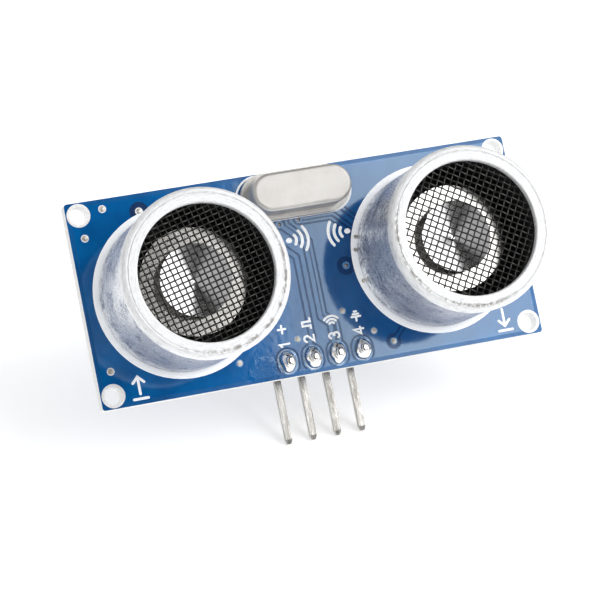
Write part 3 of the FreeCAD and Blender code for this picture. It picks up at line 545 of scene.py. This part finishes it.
def ribbon(points, width, level, out):
    """A printed stroke: a low arched strip with rounded ends that lies on a face of the board."""
    places = [Vector(point) for point in points]
    first = (places[1] - places[0]).normalized()
    last = (places[-1] - places[-2]).normalized()
    ends = [(0.5, 0.06), (0.43, 0.5), (0.25, 0.87), (0.0, 1.0)]
    stations = [(places[0] - first * width * back, first, share) for back, share in ends]
    for before, here, after in zip(places, places[1:], places[2:]):
        one = (here - before).normalized()
        two = (after - here).normalized()
        middle = (one + two).normalized()
        stations.append((here, middle, 1 / max(0.5, middle.dot(one))))
    stations += [(places[-1] + last * width * ahead, last, share) for ahead, share in reversed(ends)]
    section = [(-1, 0), (-0.86, 0.7), (-0.4, 1), (0.4, 1), (0.86, 0.7), (1, 0)]
    vertices = []
    for centre, along, share in stations:
        side = Vector((-along.y, along.x))
        for offset, height in section:
            spot = centre + side * offset * width / 2 * share
            vertices.append((spot.x, level + out * ink_thickness * height * min(1, share), spot.y))
    size = len(section)
    faces = []
    for station in range(len(stations) - 1):
        here = station * size
        for index in range(size - 1):
            quad = (here + index, here + index + 1, here + size + index + 1, here + size + index)
            faces.append(quad if out > 0 else tuple(reversed(quad)))
    return vertices, faces


def joined(shapes):
    """Several (vertices, faces) pairs as one."""
    vertices = []
    faces = []
    for more_vertices, more_faces in shapes:
        start = len(vertices)
        vertices += more_vertices
        faces += [tuple(index + start for index in face) for face in more_faces]
    return vertices, faces


def arc(centre_x, centre_y, radius, from_degrees, to_degrees, steps):
    """Points along an arc."""
    points = []
    for step in range(steps + 1):
        angle = math.radians(from_degrees + (to_degrees - from_degrees) * step / steps)
        points.append((centre_x + radius * math.cos(angle), centre_y + radius * math.sin(angle)))
    return points


def stadium_path(centre_x, centre_z, length, width):
    """A closed path round an oval with straight sides."""
    steps = 20
    half = (length - width) / 2
    right = arc(centre_x + half, centre_z, width / 2, -90, 90, steps)
    left = arc(centre_x - half, centre_z, width / 2, 90, 270, steps)
    return right + left + right[:1]


# ---------------------------------------------------------------- wire screens
screen_opening = 7.15
wire_radius = 0.076
wire_sides = 6
steps_per_pitch = 6
wire_stray = 0.012


def woven_wire(offset, half, pitch_along, phase, turn_to):
    """One crimped wire that goes over and under its crossings."""
    steps = max(4, int(2 * half / pitch_along * steps_per_pitch))
    vertices = []
    for step in range(steps + 1):
        along = -half + 2 * half * step / steps
        lift = wire_radius * math.cos(math.pi * along / pitch_along + phase)
        for side in range(wire_sides):
            angle = 2 * math.pi * side / wire_sides
            across = offset + wire_radius * math.cos(angle)
            vertices.append(turn_to(along, across, lift + wire_radius * math.sin(angle)))
    faces = ring_faces(steps + 1, wire_sides)
    faces.append(tuple(range(wire_sides - 1, -1, -1)))
    faces.append(tuple(range(steps * wire_sides, (steps + 1) * wire_sides)))
    return vertices, faces


def mesh_screen(side, weave_degrees, pitch_u, pitch_v):
    """Plain-woven wire cloth in place of the flat disc with square openings."""
    low, high = node_box(side + "_mesh_screen")
    level = (low.y + high.y) / 2
    centre_x = rims[side]
    turn = math.radians(weave_degrees)
    wires = []
    for family in (0, 1):
        pitch_along, pitch_across = (pitch_u, pitch_v) if family == 0 else (pitch_v, pitch_u)
        heading = turn + family * math.pi / 2
        flip = 1 if family == 0 else -1

        def turn_to(along, across, lift, heading=heading, flip=flip):
            x = centre_x + along * math.cos(heading) - across * math.sin(heading)
            z = along * math.sin(heading) + across * math.cos(heading)
            return x, level - flip * lift, z

        count = int(screen_opening / pitch_across)
        for row in range(-count, count + 1):
            offset = row * pitch_across + rng.uniform(-wire_stray, wire_stray)
            half = math.sqrt(max(0.1, screen_opening ** 2 - offset ** 2))
            wires.append(woven_wire(offset, half, pitch_along, math.pi * (row % 2), turn_to))
    vertices, faces = joined(wires)
    piece = make_piece(side + "_woven_screen", vertices, faces, materials["screen_wire"])
    piece.visible_glossy = False
    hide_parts(side + "_mesh_screen")


# ---------------------------------------------------------------- solder
# Outlines of solder from its foot to its top, as shares of its radius and of its height.
dome_profile = (
    (1.12, 0.0), (1.03, 0.05), (0.98, 0.16), (0.93, 0.3), (0.86, 0.44), (0.76, 0.57),
    (0.64, 0.68), (0.5, 0.79), (0.36, 0.88), (0.2, 0.96), (0.08, 0.99), (0.0, 1.0),
)
knob_profile = (
    (1.12, 0.0), (1.03, 0.05), (0.99, 0.18), (0.94, 0.34), (0.86, 0.48), (0.75, 0.6), (0.64, 0.67),
    (0.55, 0.71), (0.49, 0.77), (0.46, 0.86), (0.43, 0.93), (0.36, 0.98), (0.2, 1.0), (0.0, 1.0),
)
fillet_profile = (
    (1.0, 0.0), (0.94, 0.05), (0.87, 0.16), (0.81, 0.36), (0.77, 0.62), (0.73, 0.85),
    (0.66, 0.96), (0.4, 1.0), (0.0, 1.0),
)

# Half width, half height along Z and rise of each kind of bead.
header_bead = (0.83, 1.08, 1.24)
header_bead_squareness = 3.0
header_bead_unevenness = 0.16
terminal_spacing = 10.0
terminal_bead = (1.05, 1.05, 1.55)
crystal_lead_spacing = 4.88
crystal_bead = (0.78, 0.78, 1.15)
via_bead = (0.25, 0.25, 0.055)
lead_fillet = (0.47, 0.29, 0.15)
lead_foot_middle = 0.27
end_fillet_reach = 0.16
end_fillet_rise = 0.24
fillet_squareness = 5.0


def along_profile(profile, step, steps):
    """The (reach, rise) point at a share of the way along a profile, rounded between its corners."""
    last = len(profile) - 1
    spot = step / steps * last
    index = min(last - 1, int(spot))
    share = spot - index
    before, here = profile[max(0, index - 1)], profile[index]
    there, after = profile[index + 1], profile[min(last, index + 2)]
    point = []
    for one, two, three, four in zip(before, here, there, after):
        slope = (three - one) / 2
        next_slope = (four - two) / 2
        cube, square = share ** 3, share ** 2
        point.append((2 * cube - 3 * square + 1) * two + (cube - 2 * square + share) * slope
                     + (3 * square - 2 * cube) * three + (cube - square) * next_slope)
    return max(0, point[0]), min(1, point[1])


def solder_bead(centre, size, level, out, seed, profile, squareness=2.0, unevenness=0.06,
                segments=56, rings=40):
    """A wetted bead: size is half width, half height along Z and rise; squareness shapes its top."""
    centre_x, centre_z = centre
    radius_x, radius_z, height = size
    vertices = []
    for ring in range(rings + 1):
        reach, rise = along_profile(profile, ring, rings)
        power = 2 / (2 + (squareness - 2) * max(0, rise - 0.5) * 2)
        narrow = radius_z + (radius_x - radius_z) * rise ** 3
        for step in range(segments):
            turn = 2 * math.pi * step / segments
            across = math.copysign(abs(math.cos(turn)) ** power, math.cos(turn))
            up = math.copysign(abs(math.sin(turn)) ** power, math.sin(turn))
            wave = noise.noise(Vector((math.cos(turn) + seed * 7.1, math.sin(turn), rise)))
            swell = 1 + unevenness * wave * min(1, 4 * (1 - rise))
            x = centre_x + radius_x * reach * swell * across
            z = centre_z + narrow * reach * swell * up
            vertices.append((x, level + out * height * rise, z))
    faces = ring_faces(rings + 1, segments)
    if out < 0:
        faces = [tuple(reversed(face)) for face in faces]
    return vertices, faces


def header_beads():
    """Tall square-topped beads that cover the pins' ends on the front."""
    beads = []
    for index, x in enumerate(pin_columns):
        centre = (x, pin_row_z)
        beads.append(solder_bead(centre, header_bead, board_front, -1, index + 1, knob_profile,
                                 header_bead_squareness, header_bead_unevenness))
    vertices, faces = joined(beads)
    piece = make_piece("header_solder_beads", vertices, faces, materials["solder"], sharp=70)
    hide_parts("header_solder_joints")


def back_beads(node, centres, size):
    """Domes of solder round the leads that come through the board."""
    beads = []
    for index, centre in enumerate(centres):
        beads.append(solder_bead(centre, size, board_back, 1, index + 9, dome_profile))
    vertices, faces = joined(beads)
    name = node.replace("joints", "beads")
    piece = make_piece(name, vertices, faces, materials["solder"], sharp=60)
    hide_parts(node)


def transducer_beads():
    """Two domes behind each transducer."""
    reach = terminal_spacing / 2
    centres = [(x + side * reach, 0) for x in rims.values() for side in (-1, 1)]
    back_beads("transducer_solder_joints", centres, terminal_bead)


def crystal_beads():
    """Two domes behind the crystal."""
    middle = (crystal_low + crystal_high) / 2
    reach = crystal_lead_spacing / 2
    centres = [(middle.x + side * reach, middle.z) for side in (-1, 1)]
    back_beads("crystal_solder_joints", centres, crystal_bead)


def via_fills():
    """Solder that has run into some of the plated through-holes and stands a little proud."""
    beads = []
    for index, centre in enumerate(filled_vias + vias_in_print):
        beads.append(solder_bead(centre, via_bead, mask_front, -1, index + 20, dome_profile,
                                 segments=20, rings=10))
    vertices, faces = joined(beads)
    make_piece("via_solder_fills", vertices, faces, materials["via_tin"], sharp=70)


def solids_of(name):
    """The lowest and highest corners of each separate solid in a CAD node, in millimetres."""
    node = frame["nodes"][name]
    places = [node.matrix_world @ vertex.co / MM for vertex in node.data.vertices]
    keys = [tuple(round(value, 3) for value in place) for place in places]
    leader = {key: key for key in keys}

    def first(key):
        while leader[key] != key:
            leader[key] = leader[leader[key]]
            key = leader[key]
        return key

    for polygon in node.data.polygons:
        corners = [keys[index] for index in polygon.vertices]
        for corner in corners[1:]:
            leader[first(corner)] = first(corners[0])
    groups = {}
    for key in leader:
        groups.setdefault(first(key), []).append(key)
    boxes = []
    for group in groups.values():
        low = Vector([min(key[axis] for key in group) for axis in range(3)])
        high = Vector([max(key[axis] for key in group) for axis in range(3)])
        boxes.append((low, high))
    return sorted(boxes, key=lambda box: tuple(box[0]))


def fillet(centre, size, seed):
    """A small concave fillet on the back of the board."""
    return solder_bead(centre, size, mask_back, 1, seed, fillet_profile, fillet_squareness,
                       segments=24, rings=12)


def lead_fillets():
    """Solder round the foot of each chip lead and round each small part's ends."""
    beads = []
    for name in ("driver_chip_leads", "controller_chip_leads", "amplifier_chip_leads"):
        lows, highs = node_box(name)
        for low, high in solids_of(name):
            out = 1 if high.x > (lows.x + highs.x) / 2 else -1
            toe = high.x if out > 0 else low.x
            centre = (toe - out * lead_foot_middle, (low.z + high.z) / 2)
            beads.append(fillet(centre, lead_fillet, len(beads)))
    for name in ("resistor_ends", "capacitor_ends", "transistor_leads"):
        for low, high in solids_of(name):
            centre = ((low.x + high.x) / 2, (low.z + high.z) / 2)
            half_width = (high.x - low.x) / 2 + end_fillet_reach
            half_height = (high.z - low.z) / 2 + end_fillet_reach
            size = (half_width, half_height, end_fillet_rise)
            beads.append(fillet(centre, size, len(beads)))
    vertices, faces = joined(beads)
    make_piece("small_solder_fillets", vertices, faces, materials["solder"], sharp=70)


# ---------------------------------------------------------------- white print
ink_thickness = 0.022
stroke = 0.21
mark_stroke = 0.26
wave_stroke = 0.3
wave_dot = 0.5
crystal_stroke = 0.2
chip_stroke = 0.16
part_stroke = 0.13
transistor_stroke = 0.14
ring_inner = 7.7
ring_outer = 8.41
label_aside = 0.5
label_starts = (-7.1, -6.95, -7.05, -7.0)
label_step = 1.3
wave_level = 3.1
wave_radii = (0.75, 1.35, 1.95)
wave_half_angle = 36
mark_bar = 0.7
mark_head = 0.55
mark_shaft = (0.45, 2.1)


class Print:
    """Strokes printed on one face of the board, gathered into one piece."""

    def __init__(self, level, out):
        self.level = level
        self.out = out
        self.shapes = []

    def line(self, points, width=stroke, place=(0, 0), turn=0):
        """A stroke; its points are turned by a number of degrees and moved to a place."""
        angle = math.radians(turn)
        laid = []
        for x, z in points:
            laid.append((place[0] + x * math.cos(angle) - z * math.sin(angle),
                         place[1] + x * math.sin(angle) + z * math.cos(angle)))
        self.shapes.append(ribbon(laid, width, self.level, self.out))

    def piece(self, name):
        vertices, faces = joined(self.shapes)
        return make_piece(name, vertices, faces, ink, sharp=80)


def digit_paths(digit):
    """Stroke paths of a digit in a box 0.62 wide and 1 high."""
    if digit == 1:
        return [[(0.12, 0.78), (0.34, 1.0), (0.34, 0.0)]]
    if digit == 2:
        return [arc(0.31, 0.7, 0.29, 165, -30, 12) + [(0.03, 0.0), (0.62, 0.0)]]
    if digit == 3:
        return [arc(0.3, 0.74, 0.26, 150, -80, 12) + arc(0.3, 0.26, 0.28, 80, -150, 12)]
    return [[(0.46, 0.0), (0.46, 1.0), (0.0, 0.3), (0.64, 0.3)]]


def symbol_paths(pin):
    """A plain sign for each pin: plus, pulse, echo and earth, in a box about 1 by 1."""
    if pin == 1:
        return [[(0.5, 0.12), (0.5, 0.88)], [(0.12, 0.5), (0.88, 0.5)]]
    if pin == 2:
        return [[(0.0, 0.1), (0.28, 0.1), (0.28, 0.9), (0.68, 0.9), (0.68, 0.1), (0.98, 0.1)]]
    if pin == 3:
        return [arc(0.0, 0.5, radius, -48, 48, 8) for radius in (0.3, 0.62, 0.94)]
    return [[(0.0, 0.5), (0.4, 0.5)], [(0.4, 0.05), (0.4, 0.95)], [(0.65, 0.22), (0.65, 0.78)],
            [(0.9, 0.38), (0.9, 0.62)]]


def pin_labels(sheet):
    """Each pin's number and sign, read from below to above beside its pin."""
    for index, (x, low) in enumerate(zip(pin_columns, label_starts)):
        beside = x + label_aside
        for path in digit_paths(index + 1):
            sheet.line(path, place=(beside, low), turn=90)
        for path in symbol_paths(index + 1):
            sheet.line(path, place=(beside, low + label_step), turn=90)


def side_marks(sheet):
    """Sends: an arrow that leaves a bar. Listens: an arrow that arrives at a bar."""
    for x, bar_z, points_up in ((-18.65, -9.45, True), (18.75, -9.2, False)):
        low, high = (bar_z + height for height in mark_shaft)
        tip, tail = (high, low) if points_up else (low, high)
        back = tip + (-mark_head if points_up else mark_head)
        sheet.line([(x - mark_bar, bar_z), (x + mark_bar, bar_z)], mark_stroke)
        sheet.line([(x, tail), (x, tip)], mark_stroke)
        sheet.line([(x - mark_head, back), (x, tip), (x + mark_head, back)], mark_stroke)


def wave_mark(sheet):
    """Two dots with sound arcs that face each other, between the transducers."""
    for x, facing in ((-1.3, 0), (4.7, 180)):
        start, end = facing - wave_half_angle, facing + wave_half_angle
        sheet.line([(x - 0.06, wave_level), (x + 0.06, wave_level)], wave_dot)
        for radius in wave_radii:
            sheet.line(arc(x, wave_level, radius, start, end, 10), wave_stroke)


def case_rings(sheet):
    """A broad ring round each case."""
    for centre_x in rims.values():
        sheet.shapes.append(flat_ring(centre_x, ring_inner, ring_outer, sheet.level, sheet.out))


def flat_ring(centre_x, inner, outer, level, out):
    """A printed ring with softly rounded borders."""
    edge = 0.04
    segments = 160
    outline = [(inner, 0.0), (inner + edge, 1.0), (outer - edge, 1.0), (outer, 0.0)]
    size = len(outline)
    vertices = []
    for step in range(segments):
        angle = 2 * math.pi * step / segments
        for radius, height in outline:
            x = centre_x + radius * math.cos(angle)
            vertices.append((x, level + out * ink_thickness * height, radius * math.sin(angle)))
    faces = []
    for step in range(segments):
        here = step * size
        there = (step + 1) % segments * size
        for index in range(size - 1):
            quad = (here + index, here + index + 1, there + index + 1, there + index)
            faces.append(quad if out > 0 else tuple(reversed(quad)))
    return vertices, faces


def crystal_outline(sheet):
    """An oval that shows beside the crystal's flange."""
    longer, narrower = 0.6, 0.1
    centre = (crystal_low + crystal_high) / 2
    length = crystal_high.x - crystal_low.x + longer
    width = crystal_high.z - crystal_low.z - narrower
    sheet.line(stadium_path(centre.x, centre.z, length, width), crystal_stroke)


def front_print():
    """The rings, the crystal's outline and the plain marks on the front."""
    sheet = Print(mask_front, -1)
    case_rings(sheet)
    crystal_outline(sheet)
    wave_mark(sheet)
    side_marks(sheet)
    pin_labels(sheet)
    sheet.piece("front_white_print")


def chip_print(sheet, name):
    """A line at each end of a chip and a dot by its first lead."""
    low, high = node_box(name + "_body")
    for z in (low.z - 0.3, high.z + 0.3):
        sheet.line([(low.x + 0.1, z), (high.x - 0.1, z)], chip_stroke)
    sheet.line([(high.x + 0.5, high.z + 0.5), (high.x + 0.56, high.z + 0.5)], 0.4)


def part_print(sheet, low, high):
    """A line along both long sides of a small part."""
    gap, shorter = 0.27, 0.5
    middle = (low + high) / 2
    half = (high - low) / 2
    for side in (-1, 1):
        if half.z > half.x:
            x = middle.x + side * (half.x + gap)
            sheet.line([(x, low.z + shorter), (x, high.z - shorter)], part_stroke)
        else:
            z = middle.z + side * (half.z + gap)
            sheet.line([(low.x + shorter, z), (high.x - shorter, z)], part_stroke)


def back_print():
    """Lines beside the chips, the small parts, the header and the transistor."""
    sheet = Print(mask_back, 1)
    for name in ("driver_chip", "controller_chip", "amplifier_chip"):
        chip_print(sheet, name)
    for name in ("resistor_bodies", "capacitor_bodies"):
        for low, high in solids_of(name):
            part_print(sheet, low, high)
    low, high = node_box("header_body")
    left, right, bottom, top = low.x - 0.25, high.x + 0.25, low.z + 0.3, high.z + 0.3
    sheet.line([(left, bottom), (left, top), (right, top), (right, bottom)], chip_stroke)
    low, high = node_box("transistor_body")
    for x in (low.x - 0.2, high.x + 0.2):
        sheet.line([(x, low.z), (x, high.z)], transistor_stroke)
    sheet.piece("back_white_print")


# ---------------------------------------------------------------- CAD nodes
soft_edges = {
    "header_pins": 0.1, "header_body": 0.06, "driver_chip_body": 0.05, "controller_chip_body": 0.05,
    "amplifier_chip_body": 0.05, "resistor_ends": 0.03, "capacitor_ends": 0.04, "resistor_bodies": 0.02,
    "capacitor_bodies": 0.03, "transistor_body": 0.04, "crystal_can": 0.03, "circuit_board": 0.03,
    "front_copper": 0.012, "back_copper": 0.012, "solder_pads": 0.012,
}


def dress_cad_nodes():
    """Gives every CAD node the finish of its slot, and softens sharp edges."""
    for row in frame["record"]["subparts"]:
        name, slot = row["node"], row["material_slot"]
        node = frame["nodes"][name]
        node.data.materials.clear()
        node.data.materials.append(materials[slot])
        if name in soft_edges:
            made = node.modifiers.new("soft_edges", "BEVEL")
            made.width = soft_edges[name] * MM
            made.segments = 2
            made.limit_method = "ANGLE"
            made.angle_limit = math.radians(40)
            made.harden_normals = False


# ---------------------------------------------------------------- studio
# A glow is a strength of white light. A turn is in degrees to the right of the front, a rise in degrees up.
white = (1, 1, 1, 1)
floor_lean = 45
floor_half = 260
floor_tone = (0.8, 0.8, 0.8, 1)
floor_glow = 0.47
front_glow = 0.03
room_glow = 0.46
room_turn = (-14, 4)
low_glow = 0.5
low_fade = (-38, -26)
side_glow = 1.9
side_turn = (30, 72)
side_rise = (-34, 52)
fill_glow = 0.5

# The panels, whose distance is in metres.
panel_distance = 3.0
key_glow = 4.9
key_turn = (20, 54)
key_rise = (-6, 34)
top_glow = 1.0
top_turn = (-40, 40)
top_rise = (42, 80)
panel_glow = 5.8
panel_left_share = 0.6
panel_turn = (15.4, 22.8)
panel_rise = (-8, 20)

# The camera; its lens is in millimetres and its roll in degrees.
camera_place = Vector((-71.573, -239.483, -26.754))
camera_aim = Vector((-1.39, 0.0, -2.78))
camera_roll = 11.43
camera_lens = 155.47


def bare_tree(owner):
    """The emptied node tree of a new material or world."""
    owner.use_nodes = True
    owner.node_tree.nodes.clear()
    return owner.node_tree


def staged_sheet(name, middle, across, along):
    """A flat stage object from its middle and the two vectors to its sides, in metres."""
    signs = ((-1, -1), (1, -1), (1, 1), (-1, 1))
    corners = [middle + across * right + along * forward for right, forward in signs]
    mesh = bpy.data.meshes.new(name)
    mesh.from_pydata(corners, [], [(0, 1, 2, 3)])
    sheet = bpy.data.objects.new(name, mesh)
    bpy.context.scene.collection.objects.link(sheet)
    return sheet


def floor_normal():
    """The way the pale sheet faces: up and to the front."""
    angle = math.radians(floor_lean)
    return Vector((0, -math.sin(angle), math.cos(angle)))


def studio_floor():
    """A pale sheet under the pin tips; it glows a little, and can't be seen from below."""
    up = floor_normal()
    tip = Vector((0, pins_high.y - 0.2, pins_low.z)) * MM
    across = Vector((1, 0, 0)) * floor_half * MM
    floor = staged_sheet("floor", tip, across, up.cross(across))
    if floor.data.polygons[0].normal.dot(up) < 0:
        floor.data.flip_normals()
    material = bpy.data.materials.new("floor_sheet")
    tree = bare_tree(material)
    diffuse = add(tree, "ShaderNodeBsdfDiffuse", {"Color": floor_tone}).outputs[0]
    glow = add(tree, "ShaderNodeEmission", {"Color": white, "Strength": floor_glow}).outputs[0]
    lit = add(tree, "ShaderNodeAddShader", {0: diffuse, 1: glow}).outputs[0]
    clear = add(tree, "ShaderNodeBsdfTransparent").outputs[0]
    behind = add(tree, "ShaderNodeNewGeometry").outputs["Backfacing"]
    both = add(tree, "ShaderNodeMixShader", {0: behind, 1: lit, 2: clear}).outputs[0]
    add(tree, "ShaderNodeOutputMaterial", {"Surface": both})
    floor.data.materials.append(material)
    floor.visible_shadow = False


def band(tree, angle, low, high, soft=3.0):
    """1 where an angle in radians is between two angles in degrees, with soft edges."""
    low_edge = span(tree, angle, math.radians(low - soft), math.radians(low + soft))
    high_edge = span(tree, angle, math.radians(high - soft), math.radians(high + soft), 1.0, 0.0)
    return maths(tree, "MULTIPLY", low_edge, high_edge)


def shiny_glow(tree):
    """What shiny surfaces see: white below the sheet's level, a dim room to the left, and near darkness
    to the right with a bright area in it."""
    x, y, z = split(tree, add(tree, "ShaderNodeTexCoord").outputs["Generated"])
    turn = maths(tree, "ARCTAN2", x, maths(tree, "MULTIPLY", y, -1.0))
    rise = maths(tree, "ARCSINE", z)
    up = floor_normal()
    over = maths(tree, "ADD", maths(tree, "MULTIPLY", y, up.y), maths(tree, "MULTIPLY", z, up.z))
    side = maths(tree, "MULTIPLY", band(tree, turn, *side_turn), band(tree, rise, *side_rise))
    room_end, front_start = (math.radians(value) for value in room_turn)
    room = span(tree, turn, room_end, front_start, room_glow, front_glow)
    under = span(tree, over, -0.05, 0.05, 1.0, 0.0)
    fade_start, fade_end = (math.radians(value) for value in low_fade)
    low = span(tree, rise, fade_start, fade_end, low_glow, 0.0)
    glow = maths(tree, "MAXIMUM", room, maths(tree, "MAXIMUM", under, low))
    return maths(tree, "ADD", glow, maths(tree, "MULTIPLY", side, side_glow))


def studio_light():
    """The room's light: even on matt surfaces, uneven in shiny ones, and white to the camera."""
    world = bpy.data.worlds.new("studio")
    bpy.context.scene.world = world
    tree = bare_tree(world)
    ray = add(tree, "ShaderNodeLightPath")
    matt = ray.outputs["Is Diffuse Ray"]
    seen = ray.outputs["Is Camera Ray"]
    light = add(tree, "ShaderNodeMix", {0: matt, 2: shiny_glow(tree), 3: fill_glow}, data_type="FLOAT")
    level = add(tree, "ShaderNodeMix", {0: seen, 2: light.outputs[0], 3: 1.0}, data_type="FLOAT")
    inputs = {"Color": white, "Strength": level.outputs[0]}
    background = add(tree, "ShaderNodeBackground", inputs).outputs[0]
    add(tree, "ShaderNodeOutputWorld", {"Surface": background})


def light_panel(name, turns, rises, low_strength, high_strength):
    """A soft panel between two turns and two rises, whose strength changes from left to right."""
    low_turn, high_turn = (math.radians(value) for value in turns)
    low_rise, high_rise = (math.radians(value) for value in rises)
    turn = (low_turn + high_turn) / 2
    rise = (low_rise + high_rise) / 2
    away = Vector((math.sin(turn) * math.cos(rise), -math.cos(turn) * math.cos(rise), math.sin(rise)))
    across = Vector((math.cos(turn), math.sin(turn), 0))
    upward = away.cross(across)
    half_width = panel_distance * math.tan((high_turn - low_turn) / 2)
    half_height = panel_distance * math.tan((high_rise - low_rise) / 2)
    panel = staged_sheet(name, away * panel_distance, across * half_width, upward * half_height)
    material = bpy.data.materials.new(name)
    tree = bare_tree(material)
    across_share, _, _ = split(tree, add(tree, "ShaderNodeTexCoord").outputs["Generated"])
    change_start, change_end = 0.1, 0.5
    strength = span(tree, across_share, change_start, change_end, low_strength, high_strength)
    glow = add(tree, "ShaderNodeEmission", {"Color": white, "Strength": strength})
    add(tree, "ShaderNodeOutputMaterial", {"Surface": glow.outputs[0]})
    panel.data.materials.append(material)
    panel.visible_camera = False
    return panel


def light_panels():
    """A narrow panel that only shows in shiny surfaces, and two broad ones that only light matt ones."""
    shown = light_panel("shown_panel", panel_turn, panel_rise, panel_glow * panel_left_share, panel_glow)
    shown.visible_diffuse = False
    key = light_panel("key_panel", key_turn, key_rise, key_glow, key_glow)
    key.visible_glossy = False
    top = light_panel("top_panel", top_turn, top_rise, top_glow, top_glow)
    top.visible_glossy = False


def studio_camera():
    """A long lens in front, to the left and a little below, rolled so that +X turns up."""
    data = bpy.data.cameras.new("camera")
    data.lens = camera_lens
    data.sensor_width = 36
    data.clip_start = 0.01
    data.clip_end = 10
    camera = bpy.data.objects.new("camera", data)
    bpy.context.scene.collection.objects.link(camera)
    look = (camera_aim - camera_place).to_track_quat("-Z", "Y").to_matrix()
    roll = Matrix.Rotation(math.radians(-camera_roll), 3, "Z")
    camera.matrix_world = Matrix.Translation(camera_place * MM) @ (look @ roll).to_4x4()
    bpy.context.scene.camera = camera
    bpy.context.scene.view_settings.view_transform = "Standard"


# ---------------------------------------------------------------- build
dress_cad_nodes()
mesh_screen("transmitter", weave_degrees=14, pitch_u=0.58, pitch_v=0.515)
mesh_screen("receiver", weave_degrees=60, pitch_u=0.545, pitch_v=0.62)
header_beads()
transducer_beads()
crystal_beads()
via_fills()
lead_fillets()
front_print()
back_print()
studio_floor()
studio_light()
light_panels()
studio_camera()

bpy.context.view_layer.update()
